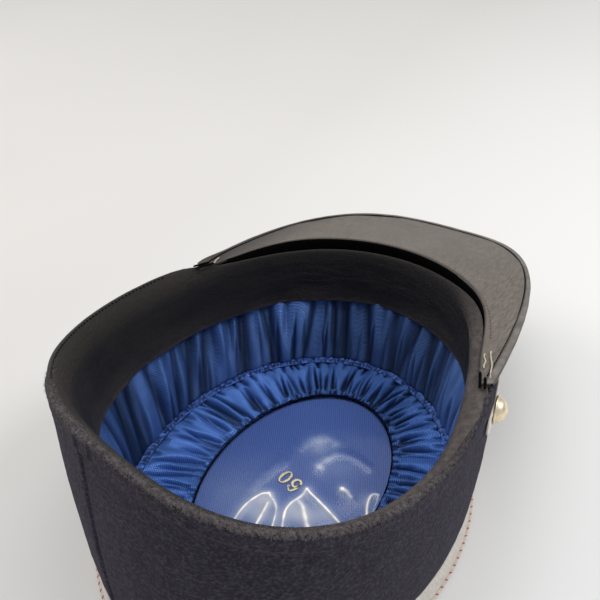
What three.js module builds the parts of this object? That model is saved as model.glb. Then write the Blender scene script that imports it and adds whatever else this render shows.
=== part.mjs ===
// A kepi lying on its crown with the head opening up: wool wall, square leather visor, sweatband,
// gathered satin lining with a clear window, braid, piping, chin strap and two buttons.
// Millimetres, +Z up. The crown's flat face lies on z = 0 round the origin, and the visor points to -Y.
// Directions in the source: forward is towards the visor, across is the other way of the oval, and
// turn is the angle round the cap from the middle of the visor.
import * as THREE from "three";

const DEGREE = Math.PI / 180;

// Rim: the line along the top of the hem, an oval that stands forward of the crown
const RIM = { long: 106, wide: 89.5, forward: 12, height: 94.4 };
// Slow waves of the soft rim: a share of the radius, and millimetres of height
const RIM_WAVES = [
  { waves: 1, radiusCos: 0, radiusSin: 0, heightCos: -19.7, heightSin: 3.1 },
  { waves: 2, radiusCos: 0, radiusSin: 0, heightCos: 6.2, heightSin: -1.4 },
  { waves: 3, radiusCos: 0.03, radiusSin: -0.021, heightCos: -2.2, heightSin: -0.3 },
  { waves: 4, radiusCos: -0.014, radiusSin: 0.009, heightCos: 0, heightSin: 0 },
];

// Crown: the outer edge of the piping at the table, and the flat disc inside it
const CROWN = { long: 102.4, wide: 88.2 };
const CROWN_TOP_THICK = 2;
const GAP = 0.35;

// Wool wall: thickness, upright foot under the braid, bulge above it, and turned hem
const WALL_THICK = 2.4;
const FOOT = { inset: 2.75, up: CROWN_TOP_THICK + GAP };
const LEDGE_UP = 9.6;
const WALL_BULGE = { out: 2.8, low: 0.7 };
const WALL_LEVELS = [0.08, 0.32, 0.66];
const HEM = { depth: 8, step: 0.5, half: 1.75, fold: 1.5, inner: 3.4 };
const WALL_STATIONS = 64;
const PLATE_STATIONS = 36;

// Braid and piping round the foot
const BRAID = { bottom: 3.5, top: 9, thick: 1 };
const CORD = { radius: 1.2, up: 1.9, sides: 5 };

// Visor: a plate from the rim to a broad rounded outline, dipped in the middle and tilted sideways
const VISOR = { turn: 72 * DEGREE, length: 62.8, slope: -0.123, squareness: 0.84, taper: 0.1, thick: 2 };
const VISOR_CURVE = { dip: 12.5, askew: -2.3, tilt: -0.063 };
const VISOR_INNER_INSET = { front: -1.2, corner: 1.5 };
const VISOR_CORNER_INSET = 0.3;
// The wall stands lower where the visor lies on it
const VISOR_SEAT = 3.1;
const VISOR_SEAT_ENDS = { full: 73 * DEGREE, none: 79 * DEGREE };
// Rolled edge: its width, its crest as a share of that width, and its most share of a narrow corner
const VISOR_BINDING = { width: 3, raise: 0.5, crest: 0.7, mostShare: 0.4 };
const VISOR_STATIONS = 28;

// Sweatband: inset is from the wall's outer face, drop is from the rim line
const BAND = { thick: 1.4, topDrop: 1.5, depth: 35.5, depthFront: -2.7, topInset: 5.2 };
const BAND_BOTTOM = { inset: 11.8, towardFront: -4.6 };
const BAND_FREE = { inset: 4.6, drop: 0.4, full: 46 * DEGREE, none: 68 * DEGREE };
const BAND_LEVELS = [0, 0.3, 0.65, 1];
const BAND_STATIONS = 72;

// Satin lining: the ring where its side meets the ruffle, and the edge of the window
const LINING_RING = { forward: 2, long: 94, wide: 79, up: 8.6 };
const WINDOW_EDGE = { forward: 6, long: 64, wide: 45 };
const SATIN = 0.9;
const FOLDS = 42;
const STATIONS_PER_FOLD = 4;
// Slow waves that make the folds uneven in width
const FOLD_WAVES = [
  { waves: 3, size: 0.8, phases: 1 },
  { waves: 7, size: 0.5, phases: 2 },
];
const SIDE_PHASE = 0.6;
const RUFFLE_PHASE = 2.1;
// Side lining from under the band down to the ring: how far along, and how deep the folds are
const SIDE_TOP = { drop: 27, inset: 2.9 };
const SIDE_LEVELS = [
  { along: 0, foldDeep: 0 },
  { along: 0.5, foldDeep: 2.6 },
  { along: 1, foldDeep: 0.7 },
];
// Ruffle from the ring to the window: how far along, middle height, and how high the folds are
const RUFFLE_LEVELS = [
  { along: 0, up: 4.9, foldHigh: 0.3 },
  { along: 0.5, up: 5.6, foldHigh: 1.1 },
  { along: 1, up: 6.5, foldHigh: 0.4 },
];
const RUFFLE_OUTER_INSET = 0.6;
const SEAM = { width: 3.5, outerUp: 8.25, innerUp: 7.5, thick: 1.25, stations: 60 };

// Tip, window and numerals
const TIP = { bottom: CROWN_TOP_THICK + GAP, thick: 1.15, insideRing: 1 };
const WINDOW = { under: 3, bottom: 3.82, thick: 0.65, dome: 2.4, crease: 0.9, creases: 9 };
const WINDOW_RINGS = [1, 0.84, 0.6, 0.34, 0.05];
const WINDOW_STATIONS = 36;
const DIGIT = { height: 9.6, width: 5.6, stroke: 1.3, thick: 0.4, curveSegments: 8 };
const DIGIT_PLACE = { forward: 5, across: 2.9, pitch: 7.8 };
// Stem of the six, in shares of the bowl's radius and of the half height
const SIX_STEM = { tip: 0.7, outerUp: 0.9, inner: -0.2, innerUp: 0.75, join: 120 * DEGREE };

// Chin strap and buttons at the visor's corners
const STRAP = { drop: 13.5, width: 10, thick: 1.4, inset: -0.9, endTurn: 81 * DEGREE, stations: 40 };
const STRAP_END_WIDTH = 0.6;
const BUTTON = { turn: 71 * DEGREE, drop: 13, radius: 6.6, rim: 0.9, height: 5.4 };
const BUTTON_SIDES = 16;
const BUTTON_DOME_STEPS = 4;
// Small steps along and up the wall that give the direction a button faces
const FACING_STEP = { turn: 0.01, drop: 1 };

// A point from forward, across and up
const place = (forward, across, up) => new THREE.Vector3(across, -forward, up);

// A point on an oval in plan
function ovalPoint(oval, turn, inset, up) {
  const forward = (oval.forward ?? 0) + (oval.long - inset) * Math.cos(turn);
  return place(forward, (oval.wide - inset) * Math.sin(turn), up);
}

// A point below the rim line and inward of it
function rimPoint(turn, inset, drop) {
  let radius = 1;
  let height = RIM.height;
  for (const row of RIM_WAVES) {
    const c = Math.cos(row.waves * turn);
    const s = Math.sin(row.waves * turn);
    radius += row.radiusCos * c + row.radiusSin * s;
    height += row.heightCos * c + row.heightSin * s;
  }
  const forward = RIM.forward + (RIM.long - inset) * Math.cos(turn) * radius;
  return place(forward, (RIM.wide - inset) * Math.sin(turn) * radius, height - drop);
}

// A point at an inset from the wall's outer face, which leans and bulges from the rim to the braid
function wallPoint(turn, inset, drop) {
  const height = rimPoint(turn, 0, 0).z - LEDGE_UP;
  const share = drop / height;
  const low = Math.max(1 - share, 0) ** WALL_BULGE.low;
  const inward = inset - WALL_BULGE.out * 4 * low * (1 - low);
  const top = rimPoint(turn, inward - HEM.half, 0);
  return top.lerp(ovalPoint(CROWN, turn, inward + FOOT.inset, LEDGE_UP), share);
}

// 1 up to the full angle either side of the front, falling smoothly to 0 at the second angle
function nearFront(turn, ends) {
  const away = Math.abs(Math.atan2(Math.sin(turn), Math.cos(turn)));
  return 1 - THREE.MathUtils.smoothstep(away, ends.full, ends.none);
}

// -1 to 1 over each cloth fold, with uneven widths round the cap
function fold(turn, phase) {
  let angle = FOLDS * turn + phase;
  for (const row of FOLD_WAVES) angle += row.size * Math.sin(row.waves * turn + row.phases * phase);
  return Math.sin(angle);
}

// A closed solid through equal loops of points: a full ring, or a run with both ends capped
function loft(loops, closed) {
  const size = loops[0].length;
  const spans = closed ? loops.length : loops.length - 1;
  const at = (i, j) => (i % loops.length) * size + (j % size);
  const faces = [];
  for (let i = 0; i < spans; i++)
    for (let j = 0; j < size; j++) {
      faces.push(at(i, j), at(i + 1, j), at(i + 1, j + 1));
      faces.push(at(i, j), at(i + 1, j + 1), at(i, j + 1));
    }
  if (!closed)
    for (let j = 0; j < size / 2 - 1; j++) {
      const back = size - 1 - j;
      const last = loops.length - 1;
      faces.push(at(0, j), at(0, j + 1), at(0, back - 1));
      faces.push(at(0, j), at(0, back - 1), at(0, back));
      faces.push(at(last, j), at(last, back - 1), at(last, j + 1));
      faces.push(at(last, j), at(last, back), at(last, back - 1));
    }
  const points = loops.flat();
  let volume = 0;
  for (let i = 0; i < faces.length; i += 3) {
    const [a, b, c] = faces.slice(i, i + 3).map((k) => points[k]);
    volume += a.dot(b.clone().cross(c));
  }
  if (volume < 0) faces.reverse();
  const geometry = new THREE.BufferGeometry().setFromPoints(points);
  geometry.setIndex(faces);
  geometry.computeVertexNormals();
  return geometry;
}

// A ring solid from its section at each turn
function ring(stations, section) {
  const loops = [];
  for (let i = 0; i < stations; i++) loops.push(section((i / stations) * 2 * Math.PI));
  return loft(loops, true);
}

// A flat oval plate
function plate(oval, inset, bottom, thick, stations) {
  const outline = new THREE.Shape();
  outline.absellipse(0, -(oval.forward ?? 0), oval.wide - inset, oval.long - inset, 0, 2 * Math.PI);
  const options = { depth: thick, bevelEnabled: false, curveSegments: stations };
  return new THREE.ExtrudeGeometry(outline, options).translate(0, 0, bottom);
}

function wallGeometry() {
  return ring(WALL_STATIONS, (turn) => {
    const seat = VISOR_SEAT * nearFront(turn, VISOR_SEAT_ENDS);
    const hem = (inset, drop) => wallPoint(turn, inset, drop + seat);
    const height = rimPoint(turn, 0, 0).z - LEDGE_UP;
    const side = (inset) => WALL_LEVELS.map((level) => wallPoint(turn, inset, (1 - level) * height));
    return [
      ovalPoint(CROWN, turn, FOOT.inset, FOOT.up),
      ovalPoint(CROWN, turn, FOOT.inset, LEDGE_UP),
      ...side(0),
      hem(0, HEM.depth + HEM.step),
      hem(-HEM.step, HEM.depth),
      hem(-HEM.step, HEM.fold),
      hem(HEM.fold, 0),
      hem(HEM.inner, HEM.fold),
      hem(HEM.inner, HEM.depth),
      hem(WALL_THICK, HEM.depth + HEM.step),
      ...side(WALL_THICK).reverse(),
      ovalPoint(CROWN, turn, FOOT.inset + WALL_THICK, FOOT.up),
    ];
  });
}

function braidGeometry() {
  const inner = FOOT.inset - GAP;
  const outer = inner - BRAID.thick;
  return ring(WALL_STATIONS, (turn) => [
    ovalPoint(CROWN, turn, inner, BRAID.bottom),
    ovalPoint(CROWN, turn, outer, BRAID.bottom),
    ovalPoint(CROWN, turn, outer, BRAID.top),
    ovalPoint(CROWN, turn, inner, BRAID.top),
  ]);
}

function cordGeometry() {
  return ring(WALL_STATIONS, (turn) => {
    const loop = [];
    for (let i = 0; i < CORD.sides; i++) {
      const angle = ((i + 0.5) / CORD.sides) * 2 * Math.PI;
      const inset = CORD.radius - CORD.radius * Math.cos(angle);
      loop.push(ovalPoint(CROWN, turn, inset, CORD.up + CORD.radius * Math.sin(angle)));
    }
    return loop;
  });
}

// Outer edge of the visor, from -1 at one corner to 1 at the other
function visorEdge(side) {
  const angle = (side * Math.PI) / 2;
  const corner = rimPoint(Math.sign(side || 1) * VISOR.turn, VISOR_CORNER_INSET, 0);
  const front = -rimPoint(0, 0, 0).y + VISOR.length;
  const ahead = Math.max(Math.cos(angle), 0) ** VISOR.squareness;
  const out = Math.abs(Math.sin(angle)) ** VISOR.squareness;
  const forward = -corner.y + (front + corner.y) * ahead;
  const across = corner.x * out * (1 - VISOR.taper * ahead * out) + VISOR_CURVE.askew * ahead;
  const middle = (rimPoint(VISOR.turn, 0, 0).z + rimPoint(-VISOR.turn, 0, 0).z) / 2;
  const cornerUp = THREE.MathUtils.lerp(middle, corner.z, out);
  const sink = VISOR_CURVE.dip * (1 - out ** 2) * ahead - VISOR_CURVE.tilt * across * ahead;
  return place(forward, across, cornerUp + VISOR.slope * (forward + corner.y) - sink);
}

function visorGeometry() {
  const loops = [];
  for (let i = 0; i <= VISOR_STATIONS; i++) {
    const side = (2 * i) / VISOR_STATIONS - 1;
    const inset = THREE.MathUtils.lerp(VISOR_INNER_INSET.front, VISOR_INNER_INSET.corner, side ** 2);
    const inner = rimPoint(side * VISOR.turn, inset, 0);
    const outer = visorEdge(side);
    const binding = Math.min(VISOR_BINDING.width / inner.distanceTo(outer), VISOR_BINDING.mostShare);
    const at = (share, lift) => inner.clone().lerp(outer, share).add(new THREE.Vector3(0, 0, lift));
    const flat = 1 - binding;
    const crest = 1 - VISOR_BINDING.crest * binding;
    const raise = VISOR_BINDING.raise;
    loops.push([
      at(0, 0),
      at(flat / 2, 0),
      at(flat, 0),
      at(crest, raise),
      at(1, 0),
      at(1, -VISOR.thick),
      at(crest, -VISOR.thick - raise),
      at(flat, -VISOR.thick),
      at(flat / 2, -VISOR.thick),
      at(0, -VISOR.thick),
    ]);
  }
  return loft(loops, false);
}

function sweatbandGeometry() {
  return ring(BAND_STATIONS, (turn) => {
    const free = nearFront(turn, BAND_FREE);
    const top = BAND.topDrop + BAND_FREE.drop * free;
    const bottom = BAND.depth + BAND.depthFront * Math.cos(turn);
    const bottomInset = BAND_BOTTOM.inset + BAND_BOTTOM.towardFront * Math.cos(turn);
    const face = (level, thick) => {
      const inset = THREE.MathUtils.lerp(BAND.topInset, bottomInset, level);
      const apart = BAND_FREE.inset * free * (1 - level) ** 2;
      return wallPoint(turn, inset + apart - thick, THREE.MathUtils.lerp(top, bottom, level));
    };
    const inside = BAND_LEVELS.map((level) => face(level, 0));
    const outside = BAND_LEVELS.map((level) => face(level, BAND.thick));
    return [...inside, ...outside.reverse()];
  });
}

function liningSideGeometry() {
  return ring(FOLDS * STATIONS_PER_FOLD, (turn) => {
    const deep = 0.5 + 0.5 * fold(turn, SIDE_PHASE);
    const face = (row, thick) => {
      const inward = row.foldDeep * deep + thick;
      const top = wallPoint(turn, SIDE_TOP.inset + inward, SIDE_TOP.drop);
      return top.lerp(ovalPoint(LINING_RING, turn, inward, LINING_RING.up), row.along);
    };
    const outside = SIDE_LEVELS.map((row) => face(row, 0));
    const inside = SIDE_LEVELS.map((row) => face(row, SATIN));
    return [...outside, ...inside.reverse()];
  });
}

function seamGeometry() {
  return ring(SEAM.stations, (turn) => [
    ovalPoint(LINING_RING, turn, 0, SEAM.outerUp),
    ovalPoint(LINING_RING, turn, SEAM.width, SEAM.innerUp),
    ovalPoint(LINING_RING, turn, SEAM.width, SEAM.innerUp - SEAM.thick),
    ovalPoint(LINING_RING, turn, 0, SEAM.outerUp - SEAM.thick),
  ]);
}

function ruffleGeometry() {
  return ring(FOLDS * STATIONS_PER_FOLD, (turn) => {
    const high = fold(turn, RUFFLE_PHASE);
    const face = (row, thick) => {
      const up = row.up + row.foldHigh * high + thick;
      const outer = ovalPoint(LINING_RING, turn, RUFFLE_OUTER_INSET, up);
      return outer.lerp(ovalPoint(WINDOW_EDGE, turn, 0, up), row.along);
    };
    const under = RUFFLE_LEVELS.map((row) => face(row, -SATIN / 2));
    const over = RUFFLE_LEVELS.map((row) => face(row, SATIN / 2));
    return [...under, ...over.reverse()];
  });
}

// Clear plastic with a low dome and creases that fan out towards the back
function windowGeometry() {
  const layer = (share, lift) => {
    const loop = [];
    for (let i = 0; i < WINDOW_STATIONS; i++) {
      const turn = (i / WINDOW_STATIONS) * 2 * Math.PI;
      const back = Math.max(-Math.cos(turn), 0) ** 2;
      const ridge = back * Math.cos(WINDOW.creases * turn) ** 2;
      const bump = WINDOW.crease * ridge * 4 * share * (1 - share);
      const up = WINDOW.bottom + WINDOW.dome * (1 - share ** 2) + bump + lift;
      const edge = ovalPoint(WINDOW_EDGE, turn, -WINDOW.under, up);
      loop.push(place(WINDOW_EDGE.forward, 0, up).lerp(edge, share));
    }
    return loop;
  };
  const under = WINDOW_RINGS.map((share) => layer(share, 0)).reverse();
  const over = WINDOW_RINGS.map((share) => layer(share, WINDOW.thick));
  return loft([...under, ...over], false);
}

// Plain numerals, drawn upright round their own middle
function zeroShape() {
  const across = DIGIT.width / 2;
  const tall = DIGIT.height / 2;
  const shape = new THREE.Shape();
  shape.absellipse(0, 0, across, tall, 0, 2 * Math.PI);
  const hole = new THREE.Path();
  hole.absellipse(0, 0, across - DIGIT.stroke, tall - DIGIT.stroke, 0, 2 * Math.PI);
  shape.holes.push(hole);
  return shape;
}

function sixShape() {
  const bowl = DIGIT.width / 2;
  const low = bowl - DIGIT.height / 2;
  const top = DIGIT.height / 2;
  const tip = bowl * SIX_STEM.tip;
  const shape = new THREE.Shape();
  shape.moveTo(tip, top);
  shape.quadraticCurveTo(-bowl, top * SIX_STEM.outerUp, -bowl, low);
  shape.absarc(0, low, bowl, Math.PI, 2 * Math.PI + SIX_STEM.join);
  shape.quadraticCurveTo(bowl * SIX_STEM.inner, top * SIX_STEM.innerUp, tip, top - DIGIT.stroke);
  shape.closePath();
  const hole = new THREE.Path();
  hole.absarc(0, low, bowl - DIGIT.stroke, 0, 2 * Math.PI);
  shape.holes.push(hole);
  return shape;
}

// Domed button with a flat rim, standing along +Y of its own frame
function buttonGeometry() {
  const profile = [new THREE.Vector2(0, 0), new THREE.Vector2(BUTTON.radius, 0)];
  profile.push(new THREE.Vector2(BUTTON.radius, BUTTON.rim));
  for (let i = 0; i < BUTTON_DOME_STEPS; i++) {
    const angle = (i / BUTTON_DOME_STEPS) * (Math.PI / 2);
    const out = (BUTTON.radius - BUTTON.rim) * Math.cos(angle);
    const rise = BUTTON.rim + (BUTTON.height - BUTTON.rim) * Math.sin(angle);
    profile.push(new THREE.Vector2(out, rise));
  }
  profile.push(new THREE.Vector2(0, BUTTON.height));
  return new THREE.LatheGeometry(profile, BUTTON_SIDES);
}

function strapGeometry() {
  const loops = [];
  for (let i = 0; i <= STRAP.stations; i++) {
    const side = (2 * i) / STRAP.stations - 1;
    const end = i === 0 || i === STRAP.stations;
    const half = (STRAP.width / 2) * (end ? STRAP_END_WIDTH : 1);
    const at = (out, down) => wallPoint(side * STRAP.endTurn, STRAP.inset - out, STRAP.drop + down);
    loops.push([at(0, -half), at(STRAP.thick, -half), at(STRAP.thick, half), at(0, half)]);
  }
  return loft(loops, false);
}

const FINISHES = {
  wool: new THREE.MeshStandardMaterial({ color: 0x2c2a32, roughness: 0.95 }),
  leather: new THREE.MeshStandardMaterial({ color: 0x1b1a19, roughness: 0.55 }),
  visorLeather: new THREE.MeshStandardMaterial({ color: 0x3a3633, roughness: 0.4 }),
  satin: new THREE.MeshStandardMaterial({ color: 0x1f3f96, roughness: 0.35 }),
  braid: new THREE.MeshStandardMaterial({ color: 0xc9c3b4, roughness: 0.5, metalness: 0.4 }),
  clear: new THREE.MeshStandardMaterial({
    color: 0xdfe6f5,
    roughness: 0.08,
    transparent: true,
    opacity: 0.25,
  }),
  gilt: new THREE.MeshStandardMaterial({ color: 0xd8c48a, roughness: 0.25, metalness: 0.9 }),
};

const kepi = new THREE.Group();

function addPiece(name, geometry, material) {
  const piece = new THREE.Mesh(geometry, material);
  piece.name = name;
  kepi.add(piece);
  return piece;
}

const crownTop = plate(CROWN, FOOT.inset, 0, CROWN_TOP_THICK, PLATE_STATIONS);
const liningTip = plate(LINING_RING, TIP.insideRing, TIP.bottom, TIP.thick, PLATE_STATIONS);
addPiece("crown_wall", wallGeometry(), FINISHES.wool);
addPiece("crown_top", crownTop, FINISHES.wool);
addPiece("crown_braid", braidGeometry(), FINISHES.braid);
addPiece("crown_cord", cordGeometry(), FINISHES.braid);
addPiece("visor", visorGeometry(), FINISHES.visorLeather);
addPiece("sweatband", sweatbandGeometry(), FINISHES.leather);
addPiece("lining_side", liningSideGeometry(), FINISHES.satin);
addPiece("lining_seam", seamGeometry(), FINISHES.satin);
addPiece("lining_ruffle", ruffleGeometry(), FINISHES.satin);
addPiece("lining_tip", liningTip, FINISHES.satin);
addPiece("clear_window", windowGeometry(), FINISHES.clear);
addPiece("chin_strap", strapGeometry(), FINISHES.braid);

// The numerals read from the visor's side, so their tops point to the back
const digitRows = [
  { name: "size_digit_6", shape: sixShape(), step: -0.5 },
  { name: "size_digit_0", shape: zeroShape(), step: 0.5 },
];
for (const row of digitRows) {
  const options = { depth: DIGIT.thick, bevelEnabled: false, curveSegments: DIGIT.curveSegments };
  const digit = addPiece(row.name, new THREE.ExtrudeGeometry(row.shape, options), FINISHES.gilt);
  const across = DIGIT_PLACE.across + row.step * DIGIT_PLACE.pitch;
  digit.position.copy(place(DIGIT_PLACE.forward, across, TIP.bottom + TIP.thick + GAP));
}

const buttonRows = [
  { name: "button_left", side: -1 },
  { name: "button_right", side: 1 },
];
for (const row of buttonRows) {
  const turn = row.side * BUTTON.turn;
  const seat = wallPoint(turn, STRAP.inset - STRAP.thick - GAP, BUTTON.drop);
  const onWall = (step, down) => wallPoint(turn + step, 0, BUTTON.drop + down);
  const along = onWall(FACING_STEP.turn, 0).sub(onWall(-FACING_STEP.turn, 0));
  const rise = onWall(0, -FACING_STEP.drop).sub(onWall(0, FACING_STEP.drop));
  const outward = along.cross(rise).normalize();
  const button = addPiece(row.name, buttonGeometry(), FINISHES.gilt);
  button.position.copy(seat);
  button.quaternion.setFromUnitVectors(new THREE.Vector3(0, 1, 0), outward);
}

export default kepi;
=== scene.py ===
"""A kepi lying on its crown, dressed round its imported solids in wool, leather, satin and braid.

Metres, +Z up, with the visor towards -Y. A turn is an angle round the cap from the middle of the
visor, an inset is inwards from the wall's outer face, and a drop is down from the rim line.
"""

import math
from collections import namedtuple

import bmesh
import bpy
import numpy as np
from mathutils import Matrix, Vector, noise


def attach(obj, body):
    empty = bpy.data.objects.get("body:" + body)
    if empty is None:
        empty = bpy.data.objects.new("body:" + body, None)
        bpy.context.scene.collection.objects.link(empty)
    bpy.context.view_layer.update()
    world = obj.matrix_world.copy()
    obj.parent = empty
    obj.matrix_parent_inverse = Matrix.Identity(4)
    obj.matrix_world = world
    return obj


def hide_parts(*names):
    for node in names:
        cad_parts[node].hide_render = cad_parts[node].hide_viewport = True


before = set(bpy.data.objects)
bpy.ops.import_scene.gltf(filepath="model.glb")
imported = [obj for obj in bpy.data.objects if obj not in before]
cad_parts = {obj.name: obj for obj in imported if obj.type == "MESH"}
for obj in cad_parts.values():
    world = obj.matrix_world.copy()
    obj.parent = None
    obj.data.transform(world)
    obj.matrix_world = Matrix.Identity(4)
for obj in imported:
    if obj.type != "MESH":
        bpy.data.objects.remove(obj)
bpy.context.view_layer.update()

MM = 0.001
DEGREE = math.pi / 180
FULL_TURN = 2 * math.pi
MERGE = 1e-7
UP = Vector((0, 0, 1))

Oval = namedtuple("Oval", "forward long wide")
RimWave = namedtuple("RimWave", "waves radius_cos radius_sin height_cos height_sin")
Rough = namedtuple("Rough", "size depth seed")
Stitch = namedtuple("Stitch", "length width height")

RIM = Oval(12 * MM, 106 * MM, 89.5 * MM)
RIM_UP = 94.4 * MM
RIM_WAVES = [
    RimWave(1, 0, 0, -19.7 * MM, 3.1 * MM),
    RimWave(2, 0, 0, 6.2 * MM, -1.4 * MM),
    RimWave(3, 0.03, -0.021, -2.2 * MM, -0.3 * MM),
    RimWave(4, -0.014, 0.009, 0, 0),
]
CROWN = Oval(0, 102.4 * MM, 88.2 * MM)
FOOT_INSET = 2.75 * MM
FOOT_UP = 2.35 * MM
LEDGE_UP = 9.6 * MM
BULGE_OUT = 2.8 * MM
BULGE_LOW = 0.7
HEM_HALF = 1.75 * MM
NOISE_SHIFT = Vector((7.3, 3.1, 5.7))
PATH_SAMPLES = 2400
STITCH_SEGMENTS = (6, 5)


def smooth_step(value, start, end):
    """From 0 at start to 1 at end, with level ends."""
    share = np.clip((value - start) / (end - start), 0, 1)
    return share * share * (3 - 2 * share)


def hump(value, half_width):
    """1 at zero, falling away to both sides."""
    return np.exp(-(value / half_width) ** 2)


def between(span, share):
    """That share of the way from the span's start to its end."""
    return span[0] + (span[1] - span[0]) * share


def blend(start, end, share):
    return start + (end - start) * np.asarray(share)[..., None]


def wrapped(turn):
    """The same turn, from -half a turn to half a turn."""
    return (turn + math.pi) % FULL_TURN - math.pi


def near_front(turn, full, none):
    """1 within full of the visor's middle and 0 beyond none."""
    return 1 - smooth_step(np.abs(wrapped(turn)), full, none)


def place(forward, across, up):
    return np.stack(np.broadcast_arrays(across, -forward, up), axis=-1)


def oval_point(oval, turn, inset, up):
    forward = oval.forward + (oval.long - inset) * np.cos(turn)
    return place(forward, (oval.wide - inset) * np.sin(turn), up)


def rim_height(turn):
    return RIM_UP + sum(
        wave.height_cos * np.cos(wave.waves * turn) + wave.height_sin * np.sin(wave.waves * turn)
        for wave in RIM_WAVES)


def rim_point(turn, inset, drop):
    radius = 1 + sum(
        wave.radius_cos * np.cos(wave.waves * turn) + wave.radius_sin * np.sin(wave.waves * turn)
        for wave in RIM_WAVES)
    forward = RIM.forward + (RIM.long - inset) * np.cos(turn) * radius
    return place(forward, (RIM.wide - inset) * np.sin(turn) * radius, rim_height(turn) - drop)


def wall_point(turn, inset, drop):
    """A point of the cap's wall, which bulges between the rim and the ledge over its braid."""
    height = rim_height(turn) - LEDGE_UP
    share = drop / height
    low = np.clip(1 - share, 0, None) ** BULGE_LOW
    inward = inset - BULGE_OUT * 4 * low * (1 - low)
    top = rim_point(turn, inward - HEM_HALF, 0)
    ledge = oval_point(CROWN, turn, inward + FOOT_INSET, LEDGE_UP)
    sloped = blend(top, ledge, share)
    upright = oval_point(CROWN, turn, inset + FOOT_INSET, rim_height(turn) - drop)
    return np.where((share > 1)[..., None], upright, sloped)


def soft_noise(points, size, seed):
    """Smooth noise from -1 to 1 at each point, with features of that size."""
    shift = NOISE_SHIFT * seed
    return np.array([noise.noise(Vector(point) / size + shift) for point in points])


def round_noise(turn, along, round_scale, along_scale, seed):
    """Smooth noise that closes on itself round the cap, finer with a larger scale."""
    spots = [round_scale * np.cos(turn), round_scale * np.sin(turn), along_scale * along]
    return soft_noise(np.stack(spots, axis=-1), 1, seed)


def path_run(points):
    """How far along their path each of the points is."""
    return np.concatenate([[0], np.cumsum(np.linalg.norm(np.diff(points, axis=0), axis=1))])


def spaced_path(curve, pitch):
    """Points at an even pitch along curve(share)."""
    share = np.linspace(0, 1, PATH_SAMPLES)
    run = path_run(curve(share))
    stops = np.linspace(0, run[-1], max(2, round(run[-1] / pitch) + 1))
    return curve(np.interp(stops, run, share))


def bend_grid(columns, rows, surface, marks=None):
    """A flat grid bent onto surface(u, v), with u and v from 0 to 1 and meeting edges merged.

    Each mark is a function of u and v that is kept on the vertices as an attribute.
    """
    bm = bmesh.new()
    bm.loops.layers.uv.new("UVMap")
    bmesh.ops.create_grid(bm, x_segments=columns, y_segments=rows, size=0.5, calc_uvs=True)
    flat = np.array([vert.co for vert in bm.verts])
    u, v = flat[:, 0] + 0.5, flat[:, 1] + 0.5
    for vert, point in zip(bm.verts, surface(u, v)):
        vert.co = point
    for name, mark in (marks or {}).items():
        layer = bm.verts.layers.float.new(name)
        for vert, value in zip(bm.verts, mark(u, v)):
            vert[layer] = value
    bmesh.ops.remove_doubles(bm, verts=bm.verts, dist=MERGE)
    bmesh.ops.recalc_face_normals(bm, faces=bm.faces)
    return bm


def roughen(bm, layers):
    """Moves every vertex along its normal by each layer of soft noise."""
    for layer in layers:
        bm.normal_update()
        shifts = soft_noise([vert.co for vert in bm.verts], layer.size, layer.seed) * layer.depth
        for vert, shift in zip(bm.verts, shifts):
            vert.co += vert.normal * shift


def close_ends(bm):
    """Fills the open ends of a tube and turns its faces outwards."""
    ends = [edge for edge in bm.edges if edge.is_boundary]
    bmesh.ops.holes_fill(bm, edges=ends, sides=0)
    bmesh.ops.recalc_face_normals(bm, faces=bm.faces)


def finish_piece(name, bm, material, nodes=(), sharp_angle=None):
    """An object of that mesh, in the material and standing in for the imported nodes."""
    mesh = bpy.data.meshes.new(name)
    bm.to_mesh(mesh)
    bm.free()
    mesh.shade_smooth()
    if sharp_angle is not None:
        mesh.set_sharp_from_angle(angle=sharp_angle)
    mesh.materials.append(material)
    piece = bpy.data.objects.new(name, mesh)
    bpy.context.scene.collection.objects.link(piece)
    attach(piece, "root")
    for node in nodes:
        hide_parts(node)
    return piece


def thicken(piece, thickness):
    modifier = piece.modifiers.new("Thickness", "SOLIDIFY")
    modifier.thickness = thickness
    modifier.offset = 0


def capsule_rows(length_rows, round_rows):
    """Steps round a flat strip with round edges: (along 0 to 1, side 1 to -1, past the end)."""
    shares = [step / length_rows for step in range(length_rows)]
    angles = [math.pi * step / round_rows for step in range(round_rows)]
    rows = [(share, 1, 0) for share in shares]
    rows += [(1, math.cos(angle), math.sin(angle)) for angle in angles]
    rows += [(1 - share, -1, 0) for share in shares]
    rows += [(0, -math.cos(angle), -math.sin(angle)) for angle in angles]
    rows.append(rows[0])
    return np.array(rows)


def row_values(table, v):
    """The table row that each v from 0 to 1 falls on."""
    return table[np.rint(v * (len(table) - 1)).astype(int)]


def lay_stitches(name, starts, ends, ups, stitch, material):
    """One small stitch from each start to its end, lifted along its up."""
    bm = bmesh.new()
    for start, end, up in zip(starts, ends, ups):
        along = Vector(end - start).normalized()
        across = Vector(up).cross(along).normalized()
        lift = along.cross(across)
        axes = Matrix((along * stitch.length, across * stitch.width, lift * stitch.height))
        spot = Matrix.Translation(Vector((start + end) / 2)) @ axes.transposed().to_4x4()
        bmesh.ops.create_uvsphere(
            bm, u_segments=STITCH_SEGMENTS[0], v_segments=STITCH_SEGMENTS[1], radius=0.5, matrix=spot)
    finish_piece(name, bm, material)


def stitch_line(name, curve, pitch, stitch, material):
    """A row of stitches at that pitch along curve(share)."""
    points = spaced_path(curve, pitch)
    lay_stitches(name, points[:-1], points[1:], [UP] * len(points), stitch, material)


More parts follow.
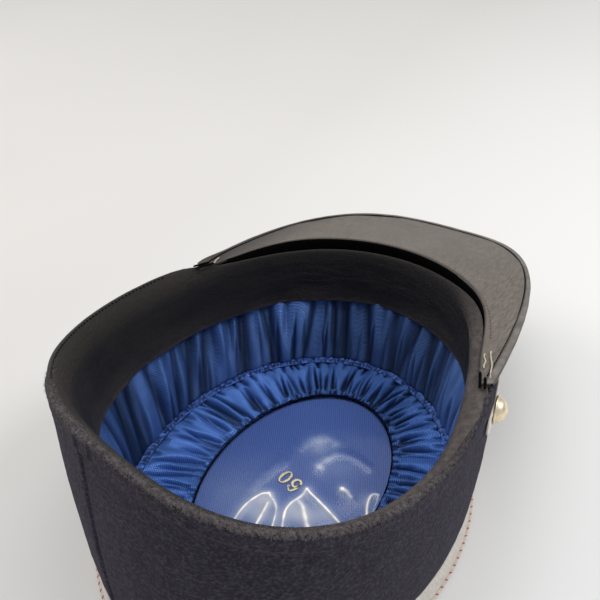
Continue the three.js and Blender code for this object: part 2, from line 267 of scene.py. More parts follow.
class Finish:
    """A material built up from nodes. What is the same all over sits on its shader's own sockets."""

    def __init__(self, name, values):
        self.material = bpy.data.materials.new(name)
        self.material.use_nodes = True
        self.tree = self.material.node_tree
        self.shader = self.tree.nodes["Principled BSDF"]
        for socket, value in values.items():
            self.feed(socket, value)

    def give(self, node, socket, value):
        """Links a socket, or gives it an opaque colour, a place or a number."""
        target = node.inputs[socket]
        if isinstance(value, bpy.types.NodeSocket):
            self.tree.links.new(value, target)
        elif target.type == "RGBA":
            target.default_value = (*value, 1)
        else:
            target.default_value = value

    def feed(self, socket, value):
        self.give(self.shader, socket, value)

    def add(self, kind, inputs, **settings):
        node = self.tree.nodes.new("ShaderNode" + kind)
        for setting, value in settings.items():
            setattr(node, setting, value)
        for socket, value in inputs.items():
            self.give(node, socket, value)
        return node

    def here(self, scale=(1, 1, 1), rotation=(0, 0, 0)):
        """The place on the object."""
        coords = self.add("TexCoord", {}).outputs["Object"]
        inputs = {"Vector": coords, "Scale": scale, "Rotation": rotation}
        return self.add("Mapping", inputs).outputs[0]

    def on_grid(self, scale):
        """The place on the piece's own UV map."""
        coords = self.add("UVMap", {}, uv_map="UVMap").outputs[0]
        return self.add("Mapping", {"Vector": coords, "Scale": scale}).outputs[0]

    def noise(self, coords, size, detail=2.0, roughness=0.5):
        inputs = {"Vector": coords, "Scale": 1 / size, "Detail": detail, "Roughness": roughness}
        return self.add("TexNoise", inputs).outputs["Fac"]

    def wave(self, coords, period, axis, distortion, detail=1.0, detail_scale=1.0):
        inputs = {
            "Vector": coords, "Scale": FULL_TURN / (20 * period), "Distortion": distortion,
            "Detail": detail, "Detail Scale": detail_scale}
        return self.add("TexWave", inputs, bands_direction=axis).outputs["Fac"]

    def ramp(self, value, stops):
        node = self.add("ValToRGB", {"Fac": value})
        elements = node.color_ramp.elements
        while len(elements) < len(stops):
            elements.new(0.5)
        for element, (position, colour) in zip(elements, stops):
            element.position = position
            element.color = (*colour, 1)
        return node.outputs["Color"]

    def ranged(self, value, low, high, to_low=0.0, to_high=1.0):
        inputs = {"Value": value, "From Min": low, "From Max": high, "To Min": to_low, "To Max": to_high}
        return self.add("MapRange", inputs).outputs["Result"]

    def mixed(self, factor, first, second):
        """One colour laid over another; each is a socket or linear RGB."""
        return self.add("Mix", {0: factor, 6: first, 7: second}, data_type="RGBA").outputs[2]

    def maths(self, operation, first, second):
        return self.add("Math", {0: first, 1: second}, operation=operation).outputs[0]

    def attribute(self, name):
        return self.add("Attribute", {}, attribute_name=name).outputs["Fac"]

    def bump(self, height, distance, strength, under=None):
        inputs = {"Height": height, "Distance": distance, "Strength": strength}
        if under is not None:
            inputs["Normal"] = under
        return self.add("Bump", inputs).outputs["Normal"]


def wool_material():
    wool = Finish("Wool", {
        "Roughness": 0.95, "Specular IOR Level": 0.12, "Sheen Weight": 0.14, "Sheen Roughness": 0.5,
        "Sheen Tint": (0.55, 0.5, 0.62)})
    here = wool.here()
    mottle = wool.noise(here, 7 * MM, detail=4, roughness=0.6)
    colour = wool.ramp(mottle, [(0.3, (0.0100, 0.0089, 0.0152)), (0.72, (0.0228, 0.0205, 0.0313))])
    clump = wool.noise(here, 1.5 * MM, detail=5, roughness=0.65)
    colour = wool.mixed(wool.ranged(clump, 0.49, 0.7, 0, 0.8), colour, (0.066, 0.0615, 0.084))
    colour = wool.mixed(wool.ranged(clump, 0.49, 0.33, 0, 0.9), colour, (0.004, 0.0036, 0.007))
    fleck = wool.noise(here, 0.7 * MM, detail=3, roughness=0.7)
    colour = wool.mixed(wool.ranged(fleck, 0.55, 0.78, 0, 0.5), colour, (0.10, 0.092, 0.105))
    rubbed = wool.ranged(clump, 0.37, 0.65, 0.08, 0.95)
    worn = wool.maths("MULTIPLY", wool.attribute("worn"), rubbed)
    wool.feed("Base Color", wool.mixed(worn, colour, (0.150, 0.131, 0.128)))
    nap = wool.bump(fleck, 0.6 * MM, 0.7)
    wool.feed("Normal", wool.bump(clump, 0.95 * MM, 0.8, nap))
    return wool.material


def visor_material():
    leather = Finish("Visor leather", {"Specular IOR Level": 0.5})
    here = leather.here()
    slanted = leather.here((1, 0.12, 0.3), (0, 0, 62 * DEGREE))
    streaks = leather.noise(slanted, 0.7 * MM, detail=3, roughness=0.6)
    patches = leather.noise(here, 22 * MM, detail=3)
    colour = leather.ramp(streaks, [(0.3, (0.076, 0.064, 0.056)), (0.7, (0.190, 0.165, 0.145))])
    colour = leather.mixed(leather.ranged(patches, 0.35, 0.7, 0, 0.4), colour, (0.10, 0.085, 0.073))
    leather.feed("Base Color", leather.mixed(leather.attribute("dark"), colour, (0.02, 0.018, 0.016)))
    leather.feed("Roughness", leather.ranged(streaks, 0.3, 0.7, 0.42, 0.58))
    pores = leather.bump(leather.noise(here, 0.45 * MM), 0.08 * MM, 0.5)
    leather.feed("Normal", leather.bump(streaks, 0.12 * MM, 0.6, pores))
    return leather.material


def binding_material():
    leather = Finish("Visor binding", {"Specular IOR Level": 0.5})
    here = leather.here()
    rubbed = leather.noise(here, 6 * MM, detail=3)
    colour = leather.ramp(rubbed, [(0.35, (0.10, 0.089, 0.078)), (0.7, (0.20, 0.178, 0.156))])
    leather.feed("Base Color", leather.mixed(leather.attribute("dark"), colour, (0.008, 0.007, 0.007)))
    leather.feed("Roughness", leather.ranged(rubbed, 0.3, 0.7, 0.36, 0.52))
    leather.feed("Normal", leather.bump(leather.noise(here, 0.5 * MM), 0.1 * MM, 0.6))
    return leather.material


def band_material():
    leather = Finish("Sweatband leather", {
        "Specular IOR Level": 0.34, "Specular Tint": (1, 0.93, 0.88), "Sheen Weight": 0.03,
        "Sheen Roughness": 0.4, "Sheen Tint": (0.8, 0.74, 0.72)})
    here = leather.here()
    cloudy = leather.noise(here, 14 * MM, detail=4)
    colour = leather.ramp(cloudy, [(0.3, (0.0045, 0.0042, 0.004)), (0.72, (0.011, 0.0096, 0.0088))])
    spots = leather.ranged(leather.noise(here, 3 * MM, detail=4, roughness=0.65), 0.3, 0.7, 0.3, 1)
    # Painted sheen and highlight on the roll, the left fold and the lower edge, kept as 'rubbed'.
    rubbed = leather.maths("MULTIPLY", leather.attribute("rubbed"), spots)
    leather.feed("Base Color", leather.mixed(rubbed, colour, (0.125, 0.105, 0.102)))
    leather.feed("Roughness", leather.ranged(cloudy, 0.3, 0.7, 0.44, 0.62))
    lines = leather.noise(leather.on_grid((130, 60, 1)), 1, detail=4, roughness=0.65)
    pores = leather.bump(leather.noise(here, 1.1 * MM, detail=4, roughness=0.65), 0.85 * MM, 0.95)
    leather.feed("Normal", leather.bump(lines, 0.75 * MM, 0.75, pores))
    return leather.material


def satin_material(rib_count, cross_count, rib_depth, light):
    """Blue satin with painted shade in its folds; its fine ribs are counted along the piece's own UV."""
    satin = Finish("Satin", {
        "Roughness": 0.38, "Metallic": 0.38, "Specular IOR Level": 0.45, "Specular Tint": (0.5, 0.68, 1)})
    here = satin.here()
    dim, gap = [[share * channel for channel in light] for share in (0.7, 0.3)]
    colour = satin.ramp(satin.noise(here, 18 * MM, detail=3), [(0.3, dim), (0.7, light)])
    grid = satin.on_grid((cross_count, rib_count, 1))
    ribs = satin.wave(grid, 1, "Y", 0.8, detail=2.0, detail_scale=1.4)
    colour = satin.mixed(satin.ranged(ribs, 0, 1, rib_depth, 0), colour, gap)
    # Painted shade: the 'fold' attribute darkens the satin in its folds, puckers and edges.
    shade = satin.ranged(satin.attribute("fold"), 0.1, 0.9, 0, 0.92)
    satin.feed("Base Color", satin.mixed(shade, colour, (0.003, 0.006, 0.022)))
    weave = satin.bump(satin.noise(here, 0.5 * MM, detail=2, roughness=0.6), 0.15 * MM, 0.35)
    satin.feed("Normal", satin.bump(ribs, 0.35 * MM, 0.8, weave))
    return satin.material


def tip_material():
    cloth = Finish("Tip cloth", {"Roughness": 0.6, "Sheen Weight": 0.3, "Specular IOR Level": 0.3})
    twill = cloth.wave(cloth.here(rotation=(0, 0, -29.7 * DEGREE)), 1.15 * MM, "X", 0.5)
    threads = cloth.noise(cloth.here(), 0.6 * MM)
    colour = cloth.ramp(twill, [(0.1, (0.037, 0.085, 0.282)), (0.9, (0.063, 0.135, 0.42))])
    colour = cloth.mixed(cloth.ranged(threads, 0.35, 0.7, 0, 0.35), colour, (0.072, 0.118, 0.36))
    cloth.feed("Base Color", colour)
    cloth.feed("Normal", cloth.bump(twill, 0.2 * MM, 0.7))
    return cloth.material


def window_material():
    """Clear film that reflects by its angle, with painted reflections on its creases and hazy spots."""
    film = Finish("Clear film", {"Base Color": (0.94, 0.96, 1), "Metallic": 1.0})
    smears = film.noise(film.here(), 9 * MM, detail=4, roughness=0.6)
    film.feed("Roughness", film.ranged(smears, 0.3, 0.75, 0.1, 0.22))
    facing = film.add("LayerWeight", {"Blend": 0.5}).outputs["Facing"]
    mirror = film.ranged(film.maths("POWER", facing, 5.0), 0, 1, 0.05, 1)
    clear = film.add("BsdfTransparent", {"Color": (0.94, 0.96, 1)}).outputs[0]
    glossy = film.add("MixShader", {0: mirror, 1: clear, 2: film.shader.outputs[0]}).outputs[0]
    white = film.attribute("white")
    # Painted reflections: a whitish colour on the creases and hazy spots, glowing faintly on their
    # brightest cores.
    tint = film.ramp(white, [
        (0.1, (0.52, 0.68, 1.0)), (0.45, (0.84, 0.90, 1.0)), (0.85, (1.0, 0.95, 0.88))])
    painted_reflection_diffuse = film.add("BsdfDiffuse", {"Color": tint}).outputs[0]
    glint = film.ranged(white, 0.6, 1, 0, 0.45)
    painted_glow = film.add("Emission", {"Color": tint, "Strength": glint}).outputs[0]
    bright = film.add("AddShader", {0: painted_reflection_diffuse, 1: painted_glow}).outputs[0]
    whole = film.add("MixShader", {0: white, 1: glossy, 2: bright}).outputs[0]
    film.give(film.tree.nodes["Material Output"], "Surface", whole)
    return film.material


def metal_material(name, dull, bright, roughness):
    metal = Finish(name, {"Metallic": 1.0})
    here = metal.here()
    tarnish = metal.noise(here, 2.2 * MM, detail=4, roughness=0.6)
    metal.feed("Base Color", metal.ramp(tarnish, [(0.3, dull), (0.68, bright)]))
    metal.feed("Roughness", metal.ranged(tarnish, 0.3, 0.7, roughness, roughness + 0.16))
    metal.feed("Normal", metal.bump(metal.noise(here, 0.5 * MM), 0.05 * MM, 0.5))
    return metal.material


def braid_material(rib_count):
    """Pale ribbon; its fine cross ribs are counted round the piece's own UV."""
    braid = Finish("Braid", {"Roughness": 0.45, "Metallic": 0.1, "Sheen Weight": 0.25})
    ribs = braid.wave(braid.on_grid((rib_count, 9, 1)), 1, "DIAGONAL", 0.4)
    worn = braid.noise(braid.here(), 3 * MM, detail=4)
    colour = braid.ramp(worn, [(0.3, (0.545, 0.515, 0.465)), (0.7, (0.70, 0.665, 0.605))])
    braid.feed("Base Color", braid.mixed(braid.ranged(ribs, 0, 1, 0.3, 0), colour, (0.52, 0.485, 0.43)))
    braid.feed("Normal", braid.bump(ribs, 0.08 * MM, 0.5))
    return braid.material


def thread_material(name, dark, light):
    thread = Finish(name, {"Roughness": 0.7, "Sheen Weight": 0.2})
    strands = thread.noise(thread.here(), 0.5 * MM, detail=3)
    thread.feed("Base Color", thread.ramp(strands, [(0.3, dark), (0.7, light)]))
    thread.feed("Normal", thread.bump(strands, 0.1 * MM, 0.6))
    return thread.material


def black_stitch_and_shade_material():
    """Dull black with a fine weave, for black stitches and for sheets of painted shade in gaps."""
    stitch_and_shade = Finish("Black tape", {"Roughness": 1.0, "Specular IOR Level": 0.05})
    weave = stitch_and_shade.noise(stitch_and_shade.here(), 0.8 * MM)
    stitch_and_shade.feed("Base Color", stitch_and_shade.ramp(
        weave, [(0.3, (0.0012, 0.0012, 0.0015)), (0.7, (0.003, 0.003, 0.0035))]))
    return stitch_and_shade.material


def table_material():
    """Pale table, with painted light making it lighter towards the wearer's left, where the cap's shadow
    falls.
    """
    table = Finish("Pale table", {"Roughness": 0.7, "Specular IOR Level": 0.2})
    tone = table.noise(table.here(), 0.5)
    colour = table.ramp(tone, [(0.3, (0.66, 0.65, 0.63)), (0.7, (0.70, 0.69, 0.67))])
    along = table.add("SeparateXYZ", {"Vector": table.here()}).outputs["X"]
    painted_light = table.ranged(along, 0.22, -0.2)
    table.feed("Base Color", table.mixed(painted_light, colour, (0.83, 0.835, 0.84)))
    return table.material


WOOL = wool_material()
VISOR_LEATHER = visor_material()
BINDING = binding_material()
BAND_LEATHER = band_material()
SIDE_SATIN = satin_material(58, 60, 0.62, (0.104, 0.226, 0.60))
RUFFLE_SATIN = satin_material(34, 60, 0.45, (0.118, 0.278, 0.82))
RING_SATIN = satin_material(4, 300, 0.6, (0.088, 0.195, 0.62))
TIP_CLOTH = tip_material()
CLEAR_FILM = window_material()
GILT = metal_material("Gold foil", (0.88, 0.64, 0.27), (1.0, 0.89, 0.52), 0.22)
BUTTON_METAL = metal_material("Button gilt", (0.74, 0.60, 0.40), (0.93, 0.82, 0.62), 0.3)
BRAID = braid_material(520)
CREAM_CORD = thread_material("Cream cord", (0.42, 0.37, 0.29), (0.74, 0.68, 0.58))
RED_THREAD = thread_material("Red thread", (0.42, 0.02, 0.025), (0.58, 0.05, 0.05))
BROWN_THREAD = thread_material("Brown thread", (0.085, 0.055, 0.04), (0.16, 0.11, 0.08))
BLUE_THREAD = thread_material("Blue thread", (0.008, 0.02, 0.09), (0.02, 0.045, 0.17))
# Pale colour for painted glints on the creased corner leather.
PAINTED_CREASE_GLINT = thread_material("Painted crease glints", (0.30, 0.25, 0.19), (0.62, 0.54, 0.44))
WOOL_FIBRE = thread_material("Wool fibre", (0.05, 0.043, 0.045), (0.17, 0.15, 0.145))
BLACK_STITCH_AND_SHADE = black_stitch_and_shade_material()
PALE_TABLE = table_material()

# Wool wall
HEM_DEPTH = 8 * MM
HEM_STEP = 0.6 * MM
HEM_FOLD = 1.5 * MM
HEM_INNER = 3.2 * MM
HEM_TURN = 1 * MM
HEM_EDGE = ((0.4 * MM, -0.25 * MM, 0.1), (-0.3 * MM, -HEM_STEP, 0.15))
HEM_FACE_WORN = 0.06
HEM_FACE_ROWS = 7
HEM_FOLD_ROWS = 12
HEM_INNER_ROWS = 4
HEM_FRONT_INNER = -0.1 * MM
HEM_FRONT_THIN = 0.05
HEM_FRONT_ENDS = (60 * DEGREE, 74 * DEGREE)
HEM_JOIN_TURN = 171 * DEGREE
HEM_JOIN_EDGE = 0.6 * MM
HEM_JOIN_FADE = (-22 * MM, -8 * MM)
HEM_JOIN_RISE = 0.7 * MM
WALL_THICK = 2.4 * MM
WALL_COLUMNS = 760
WALL_SIDE_ROWS = 38
WALL_INNER_ROWS = 8
WALL_OUTER_FACE = (1.2 * MM, 0.2 * MM)
WALL_ROUGH = [Rough(26 * MM, 0.35 * MM, 1), Rough(5 * MM, 0.2 * MM, 2), Rough(1.9 * MM, 0.1 * MM, 3)]
CREST_DROP = 0.3 * MM
CREST_LAPPED = 1.0 * MM
LAPPED_START = (74 * DEGREE, 82 * DEGREE)
LAPPED_END = (145 * DEGREE, 125 * DEGREE)
VISOR_SEAT = 2.1 * MM
VISOR_SEAT_ENDS = (72 * DEGREE, 76 * DEGREE)
BACK_SEAM_TURN = 166 * DEGREE
SEAM_GROOVE = 1.0 * MM
SEAM_GROOVE_HALF = 1.1 * MM
SEAM_RAISE = 0.7 * MM
SEAM_RAISE_LONG = 9 * MM
WORN_TURN = 200 * DEGREE
WORN_ENDS = (80 * DEGREE, 40 * DEGREE)
WORN_LEAST = 0.25
FUZZ_SEED = 51
FUZZ_WORN = 0.3
FUZZ_COUNT = 4200
FUZZ_LENGTHS = (0.7 * MM, 1.7 * MM)
FUZZ_RADIUS = 0.08 * MM
FUZZ_TIP_SHARE = 0.2
FUZZ_SPREAD = 0.6
FUZZ_ASIDE = 0.3 * MM
FUZZ_OUT_SHARE = 0.35


def wall_rows():
    """The wall's section: a drop below the rim, a share of the side below the hem, an inset, wear."""
    middle, half = (HEM_INNER - HEM_STEP) / 2, (HEM_INNER + HEM_STEP) / 2
    below = HEM_DEPTH + HEM_STEP
    rows = [(below, 1 - step / WALL_SIDE_ROWS, 0, 0) for step in range(WALL_SIDE_ROWS + 1)]
    rows += [(HEM_DEPTH + past, 0, inset, wear) for past, inset, wear in HEM_EDGE]
    for step in range(HEM_FACE_ROWS):
        drop = between((HEM_DEPTH - HEM_TURN, HEM_FOLD), step / HEM_FACE_ROWS)
        rows.append((drop, 0, -HEM_STEP, HEM_FACE_WORN))
    for step in range(HEM_FOLD_ROWS + 1):
        angle = math.pi * step / HEM_FOLD_ROWS
        drop = HEM_FOLD * (1 - math.sin(angle))
        rows.append((drop, 0, middle - half * math.cos(angle), math.sin(angle)))
    rows += [(HEM_DEPTH * (step + 1) / HEM_INNER_ROWS, 0, HEM_INNER, 0) for step in range(HEM_INNER_ROWS)]
    rows += [(below, step / WALL_INNER_ROWS, WALL_THICK, 0) for step in range(WALL_INNER_ROWS + 1)]
    rows.append(rows[0])
    return np.array(rows)


def build_wall():
    rows = wall_rows()

    def surface(u, v):
        turn = u * FULL_TURN
        drop, share, inset = row_values(rows, v).T[:3]
        lapped = smooth_step(wrapped(turn), *LAPPED_START) * smooth_step(wrapped(turn), *LAPPED_END)
        seat = CREST_DROP + CREST_LAPPED * lapped + VISOR_SEAT * near_front(turn, *VISOR_SEAT_ENDS)
        drop = drop + share * (rim_height(turn) - FOOT_UP - HEM_DEPTH - HEM_STEP) + seat * (1 - share)
        outer = smooth_step(inset, *WALL_OUTER_FACE)
        thinned = np.minimum(inset, between((HEM_FRONT_INNER, inset), HEM_FRONT_THIN))
        inset = inset + (thinned - inset) * near_front(turn, *HEM_FRONT_ENDS) * (share == 0)
        beside = RIM.long * wrapped(turn - BACK_SEAM_TURN)
        groove = SEAM_GROOVE * hump(beside, SEAM_GROOVE_HALF)
        raised = SEAM_RAISE * np.exp(beside / SEAM_RAISE_LONG) * (beside < 0)
        inset = inset + outer * (groove - raised) * smooth_step(drop, 0, HEM_FOLD)
        past_join = RIM.long * wrapped(turn - HEM_JOIN_TURN)
        joined = smooth_step(past_join, HEM_JOIN_EDGE, 0) * smooth_step(past_join, *HEM_JOIN_FADE)
        on_hem = smooth_step(drop, HEM_DEPTH + HEM_STEP, HEM_DEPTH)
        return wall_point(turn, inset - HEM_JOIN_RISE * joined * on_hem * outer, drop)

    def worn(u, v):
        near = smooth_step(np.abs(wrapped(u * FULL_TURN - WORN_TURN)), *WORN_ENDS)
        return row_values(rows, v)[:, 3] * between((WORN_LEAST, 1), near)

    bm = bend_grid(WALL_COLUMNS, len(rows) - 1, surface, {"worn": worn})
    roughen(bm, WALL_ROUGH)
    add_fuzz(bm)
    finish_piece("wool_wall", bm, WOOL, ["crown_wall"])


def add_fuzz(wall):
    """Short loose fibres on the worn crest of the hem."""
    draw = np.random.default_rng(FUZZ_SEED)
    layer = wall.verts.layers.float["worn"]
    wall.normal_update()
    crest = [vert for vert in wall.verts if vert[layer] > FUZZ_WORN]
    bm = bmesh.new()
    for index in draw.integers(0, len(crest), FUZZ_COUNT):
        root = crest[index]
        along = (root.normal + Vector(draw.normal(0, FUZZ_SPREAD, 3))).normalized()
        length = draw.uniform(*FUZZ_LENGTHS)
        aside = Vector(draw.uniform(-FUZZ_ASIDE, FUZZ_ASIDE, 3))
        turned = along.to_track_quat("Z", "Y").to_matrix().to_4x4()
        spot = Matrix.Translation(root.co + aside + along * FUZZ_OUT_SHARE * length) @ turned
        bmesh.ops.create_cone(
            bm, segments=3, radius1=FUZZ_RADIUS, radius2=FUZZ_TIP_SHARE * FUZZ_RADIUS, depth=length,
            matrix=spot)
    finish_piece("wool_fuzz", bm, WOOL_FIBRE)


# Crown disc, braid and piping
CROWN_THICK = 2 * MM
CROWN_MARGIN = 0.4 * MM
CROWN_BEVEL = 0.6 * MM
CROWN_BEVEL_STEPS = 3
CROWN_SEGMENTS = 160
CROWN_SHARP = 30 * DEGREE
BRAID_LOW = 2.2 * MM
BRAID_HIGH = 12.5 * MM
BRAID_THICK = 0.9 * MM
BRAID_OUT = 0.7 * MM
BRAID_FLARE = 1.5 * MM
BRAID_COLUMNS = 500
BRAID_ROWS = (8, 4)
CORD_RADIUS = 0.95 * MM
CORD_UP = 1.35 * MM
CORD_OUT = 0.4 * MM
CORD_STRANDS = 3
CORD_LOBE = 0.05
CORD_GRID = (1800, 10)
CORD_STITCHES = 150
CORD_STITCH = Stitch(2.0 * MM, 0.8 * MM, 0.6 * MM)
CORD_STITCH_LEAN = 0.55 * MM
CORD_STITCH_ENDS = (22 * DEGREE, 84 * DEGREE)
CORD_STITCH_OUT = 1.12
CORD_STITCH_TILT = 0.5


def build_crown_disc():
    bm = bmesh.new()
    bmesh.ops.create_circle(bm, cap_ends=True, segments=CROWN_SEGMENTS, radius=1)
    bmesh.ops.scale(bm, vec=(CROWN.wide - CROWN_MARGIN, CROWN.long - CROWN_MARGIN, 1), verts=bm.verts)
    bmesh.ops.solidify(bm, geom=bm.faces, thickness=-CROWN_THICK)
    bmesh.ops.recalc_face_normals(bm, faces=bm.faces)
    low = min(vert.co.z for vert in bm.verts)
    bmesh.ops.translate(bm, vec=(0, 0, -low), verts=bm.verts)
    rim = [edge for edge in bm.edges if edge.calc_face_angle(0) > CROWN_SHARP]
    bmesh.ops.bevel(
        bm, geom=rim, offset=CROWN_BEVEL, affect="EDGES", segments=CROWN_BEVEL_STEPS, profile=0.5,
        material=-1)
    finish_piece("crown_disc", bm, WOOL, ["crown_top"], CROWN_SHARP)


def build_braid():
    rows = capsule_rows(*BRAID_ROWS)
    middle, half = (BRAID_LOW + BRAID_HIGH) / 2, (BRAID_HIGH - BRAID_LOW) / 2
    round_by = BRAID_THICK / 2

    def surface(u, v):
        turn = u * FULL_TURN
        along, side, past = row_values(rows, v).T
        up = middle + (half - round_by) * (2 * along - 1) + past * round_by
        flare = BRAID_FLARE * smooth_step(up, BRAID_HIGH, BRAID_LOW)
        return oval_point(CROWN, turn, FOOT_INSET - BRAID_OUT - flare - round_by * (1 + side), up)

    bm = bend_grid(BRAID_COLUMNS, len(rows) - 1, surface)
    finish_piece("braid_ribbon", bm, BRAID, ["crown_braid"])


def cord_point(turn, angle, radius):
    """A point round the piping, out from its middle line by that radius."""
    return oval_point(CROWN, turn, -CORD_OUT - radius * np.cos(angle), CORD_UP + radius * np.sin(angle))


def build_piping():
    def cord(u, v):
        turn, angle = u * FULL_TURN, v * FULL_TURN
        lobes = 1 + CORD_LOBE * np.cos(CORD_STRANDS * (angle + turn * CORD_STITCHES))
        return cord_point(turn, angle, CORD_RADIUS * lobes)

    finish_piece("piping_cord", bend_grid(*CORD_GRID, cord), CREAM_CORD, ["crown_cord"])
    turn = np.arange(CORD_STITCHES) / CORD_STITCHES * FULL_TURN
    lean = CORD_STITCH_LEAN / CROWN.long
    reach = CORD_STITCH_OUT * CORD_RADIUS
    starts = cord_point(turn + lean, CORD_STITCH_ENDS[0], reach)
    ends = cord_point(turn - lean, CORD_STITCH_ENDS[1], reach)
    ups = [Vector((math.sin(angle), -math.cos(angle), CORD_STITCH_TILT)) for angle in turn]
    lay_stitches("piping_thread", starts, ends, ups, CORD_STITCH, RED_THREAD)


# Visor
VISOR_TURN = 72 * DEGREE
VISOR_LENGTH = 62.8 * MM
VISOR_SLOPE = -0.123
VISOR_SQUARENESS = 0.84
VISOR_TAPER = 0.1
VISOR_HALF = 1 * MM
VISOR_DIP = 12.5 * MM
VISOR_ASKEW = -2.3 * MM
VISOR_TILT = -0.063
VISOR_CORNER_INSET = 0.3 * MM
VISOR_COLUMNS = 420
VISOR_ROWS = (28, 6)
VISOR_END = 1e-6
VISOR_ROUGH = [Rough(24 * MM, 0.5 * MM, 4), Rough(3 * MM, 0.07 * MM, 5)]
VISOR_THIN_SHARE = 0.45
VISOR_ROLL_PAINTED_SHADE = 0.85
VISOR_ROLL_SPAN = (0.03, 0.0)
VISOR_CORNER_DARK = 0.78
VISOR_CORNER_SIDES = (0.44, 0.92)
VISOR_UNDER_DARK = 0.75
VISOR_INNER = np.array([
    (-72, 5), (-67, 6.6), (-62, 7.4), (-56, 6.8), (-51, 5.4), (-45, 3), (-40, 1.2), (-32, 0), (-20, 0.2),
    (0, -0.2), (25, -0.7), (36, -0.9), (45, 0.6), (52, 2.1), (59, 3.8), (66, 4.6), (72, 4.6),
]) * (DEGREE, MM)
VISOR_SEAM = np.array([
    (-56, -0.4), (-50, -1.1), (-42, -2.2), (-34, -2.8), (-20, -1.8), (0, -1.5),
    (25, -2), (36, -1.4), (45, 0), (55, 2), (62, 3),
]) * (DEGREE, MM)
VISOR_SMOOTHING = np.linspace(-5, 5, 11) * DEGREE
VISOR_WALK_END = 0.995
VISOR_WALK_SAMPLES = 1600
PUCKER_SIDES = (0.84, 0.97)
PUCKER_LENGTH = 1.5 * MM
PUCKER_SLANT = 40
PUCKER_HEIGHT = 0.45 * MM
PUCKER_REACH = (2 * MM, 9 * MM)
BINDING_WIDTH = 3.2 * MM
BINDING_CORNER = 4 * MM
BINDING_LEFT_SIDES = (0.5, 0.85)
BINDING_RIGHT_SIDES = (0.6, 0.9)
BINDING_RIGHT_SHARE = 0.5
BINDING_MOST_SHARE = 0.5
BINDING_THICK = 0.55 * MM
BINDING_GAP = 0.05 * MM
BINDING_SLIM_REACH = 7 * MM
BINDING_FACE_ROWS = 5
BINDING_ROUND_ROWS = 10
BINDING_ROUGH = [Rough(7 * MM, 0.14 * MM, 6)]
BINDING_SEAM_SPAN = (0.7, 0.9)
BINDING_EDGE_DARK = 0.85
BINDING_EDGE_SPAN = (-0.5 * VISOR_HALF, -1.2 * VISOR_HALF)
BINDING_CORNER_DARK = 0.75
BINDING_CORNER_SIDES = (0.05, 0.75)
BINDING_UNDER = -0.2 * VISOR_HALF
BINDING_UNDER_DARK = 0.7
LIP_TURNS = (-42 * DEGREE, 62 * DEGREE)
LIP_STEPS = (0, 0.12, 0.25, 0.38, 0.55, 1)
LIP_INSETS = np.array([-0.3, 0.1, 0.2, 0.3, 0.4, 0.6]) * MM
LIP_DROPS = np.array([0.6, 0.9, 2.2, 4.5, 8, 14]) * MM
LIP_GRID = (200, 24)
LIP_THICK = 0.6 * MM
STITCH_LIFT = VISOR_HALF + 0.05 * MM
EDGE_STITCH = Stitch(1.95 * MM, 1.0 * MM, 0.5 * MM)
EDGE_STITCH_PITCH = 2.0 * MM
EDGE_STITCH_GAP = 0.3 * MM
EDGE_STITCH_ENDS = (0.02, 0.98)
SEAM_STITCH = Stitch(1.8 * MM, 0.7 * MM, 0.45 * MM)
SEAM_STITCH_PITCH = 2.2 * MM
CREASE_STITCH = Stitch(1.6 * MM, 0.8 * MM, 0.7 * MM)
TACK_STITCH = Stitch(2.8 * MM, 1.5 * MM, 1.0 * MM)
CORNER_LIFT = 0.35 * MM
CORNER_PITCH_SHARE = 0.4
CORNER_WOBBLES = 9
# Corner lines run between turns in degrees, with insets and a wobble in millimetres.
CornerLine = namedtuple("CornerLine", "name turns insets wobble stitch material")
# The pale creases are painted glints on the creased corner leather; the tacks are black stitching.
CORNER_LINES = [
    CornerLine("left_crease_inner", (-60, -65.5), (5.0, 4.4), 0.35, CREASE_STITCH, PAINTED_CREASE_GLINT),
    CornerLine("left_crease_outer", (-59, -69), (2.3, 0.8), 0.25, CREASE_STITCH, PAINTED_CREASE_GLINT),
    CornerLine("left_tack_inner", (-67.5, -73), (5.8, 4.2), 0, TACK_STITCH, BLACK_STITCH_AND_SHADE),
    CornerLine("left_tack_outer", (-69.4, -73), (3.0, 2.0), 0, TACK_STITCH, BLACK_STITCH_AND_SHADE),
    CornerLine("right_crease", (66.5, 64), (4.4, 1.2), 0.2, CREASE_STITCH, PAINTED_CREASE_GLINT),
    CornerLine("right_tack_inner", (67, 72.5), (4.6, 4.0), 0, TACK_STITCH, BLACK_STITCH_AND_SHADE),
    CornerLine("right_tack_outer", (68, 72.5), (2.6, 1.6), 0, TACK_STITCH, BLACK_STITCH_AND_SHADE),
]


def visor_edge(side):
    """The visor's outer edge, from one corner (-1) to the other (1)."""
    angle = side * math.pi / 2
    corner = rim_point(np.sign(side) * VISOR_TURN, VISOR_CORNER_INSET, 0)
    corner_across, corner_forward, corner_up = corner[..., 0], -corner[..., 1], corner[..., 2]
    front = -rim_point(0, 0, 0)[1] + VISOR_LENGTH
    ahead = np.clip(np.cos(angle), 0, None) ** VISOR_SQUARENESS
    out = np.abs(np.sin(angle)) ** VISOR_SQUARENESS
    forward = corner_forward + (front - corner_forward) * ahead
    across = corner_across * out * (1 - VISOR_TAPER * ahead * out) + VISOR_ASKEW * ahead
    middle = (rim_height(VISOR_TURN) + rim_height(-VISOR_TURN)) / 2
    seat = middle + (corner_up - middle) * out
    sink = VISOR_DIP * (1 - out ** 2) * ahead - VISOR_TILT * across * ahead
    return place(forward, across, seat + VISOR_SLOPE * (forward - corner_forward) - sink)


def visor_inset(turn, line):
    """A line of the visor as an inset from the rim, smoothed between its listed turns."""
    return np.mean([np.interp(turn + shift, line[:, 0], line[:, 1]) for shift in VISOR_SMOOTHING], axis=0)


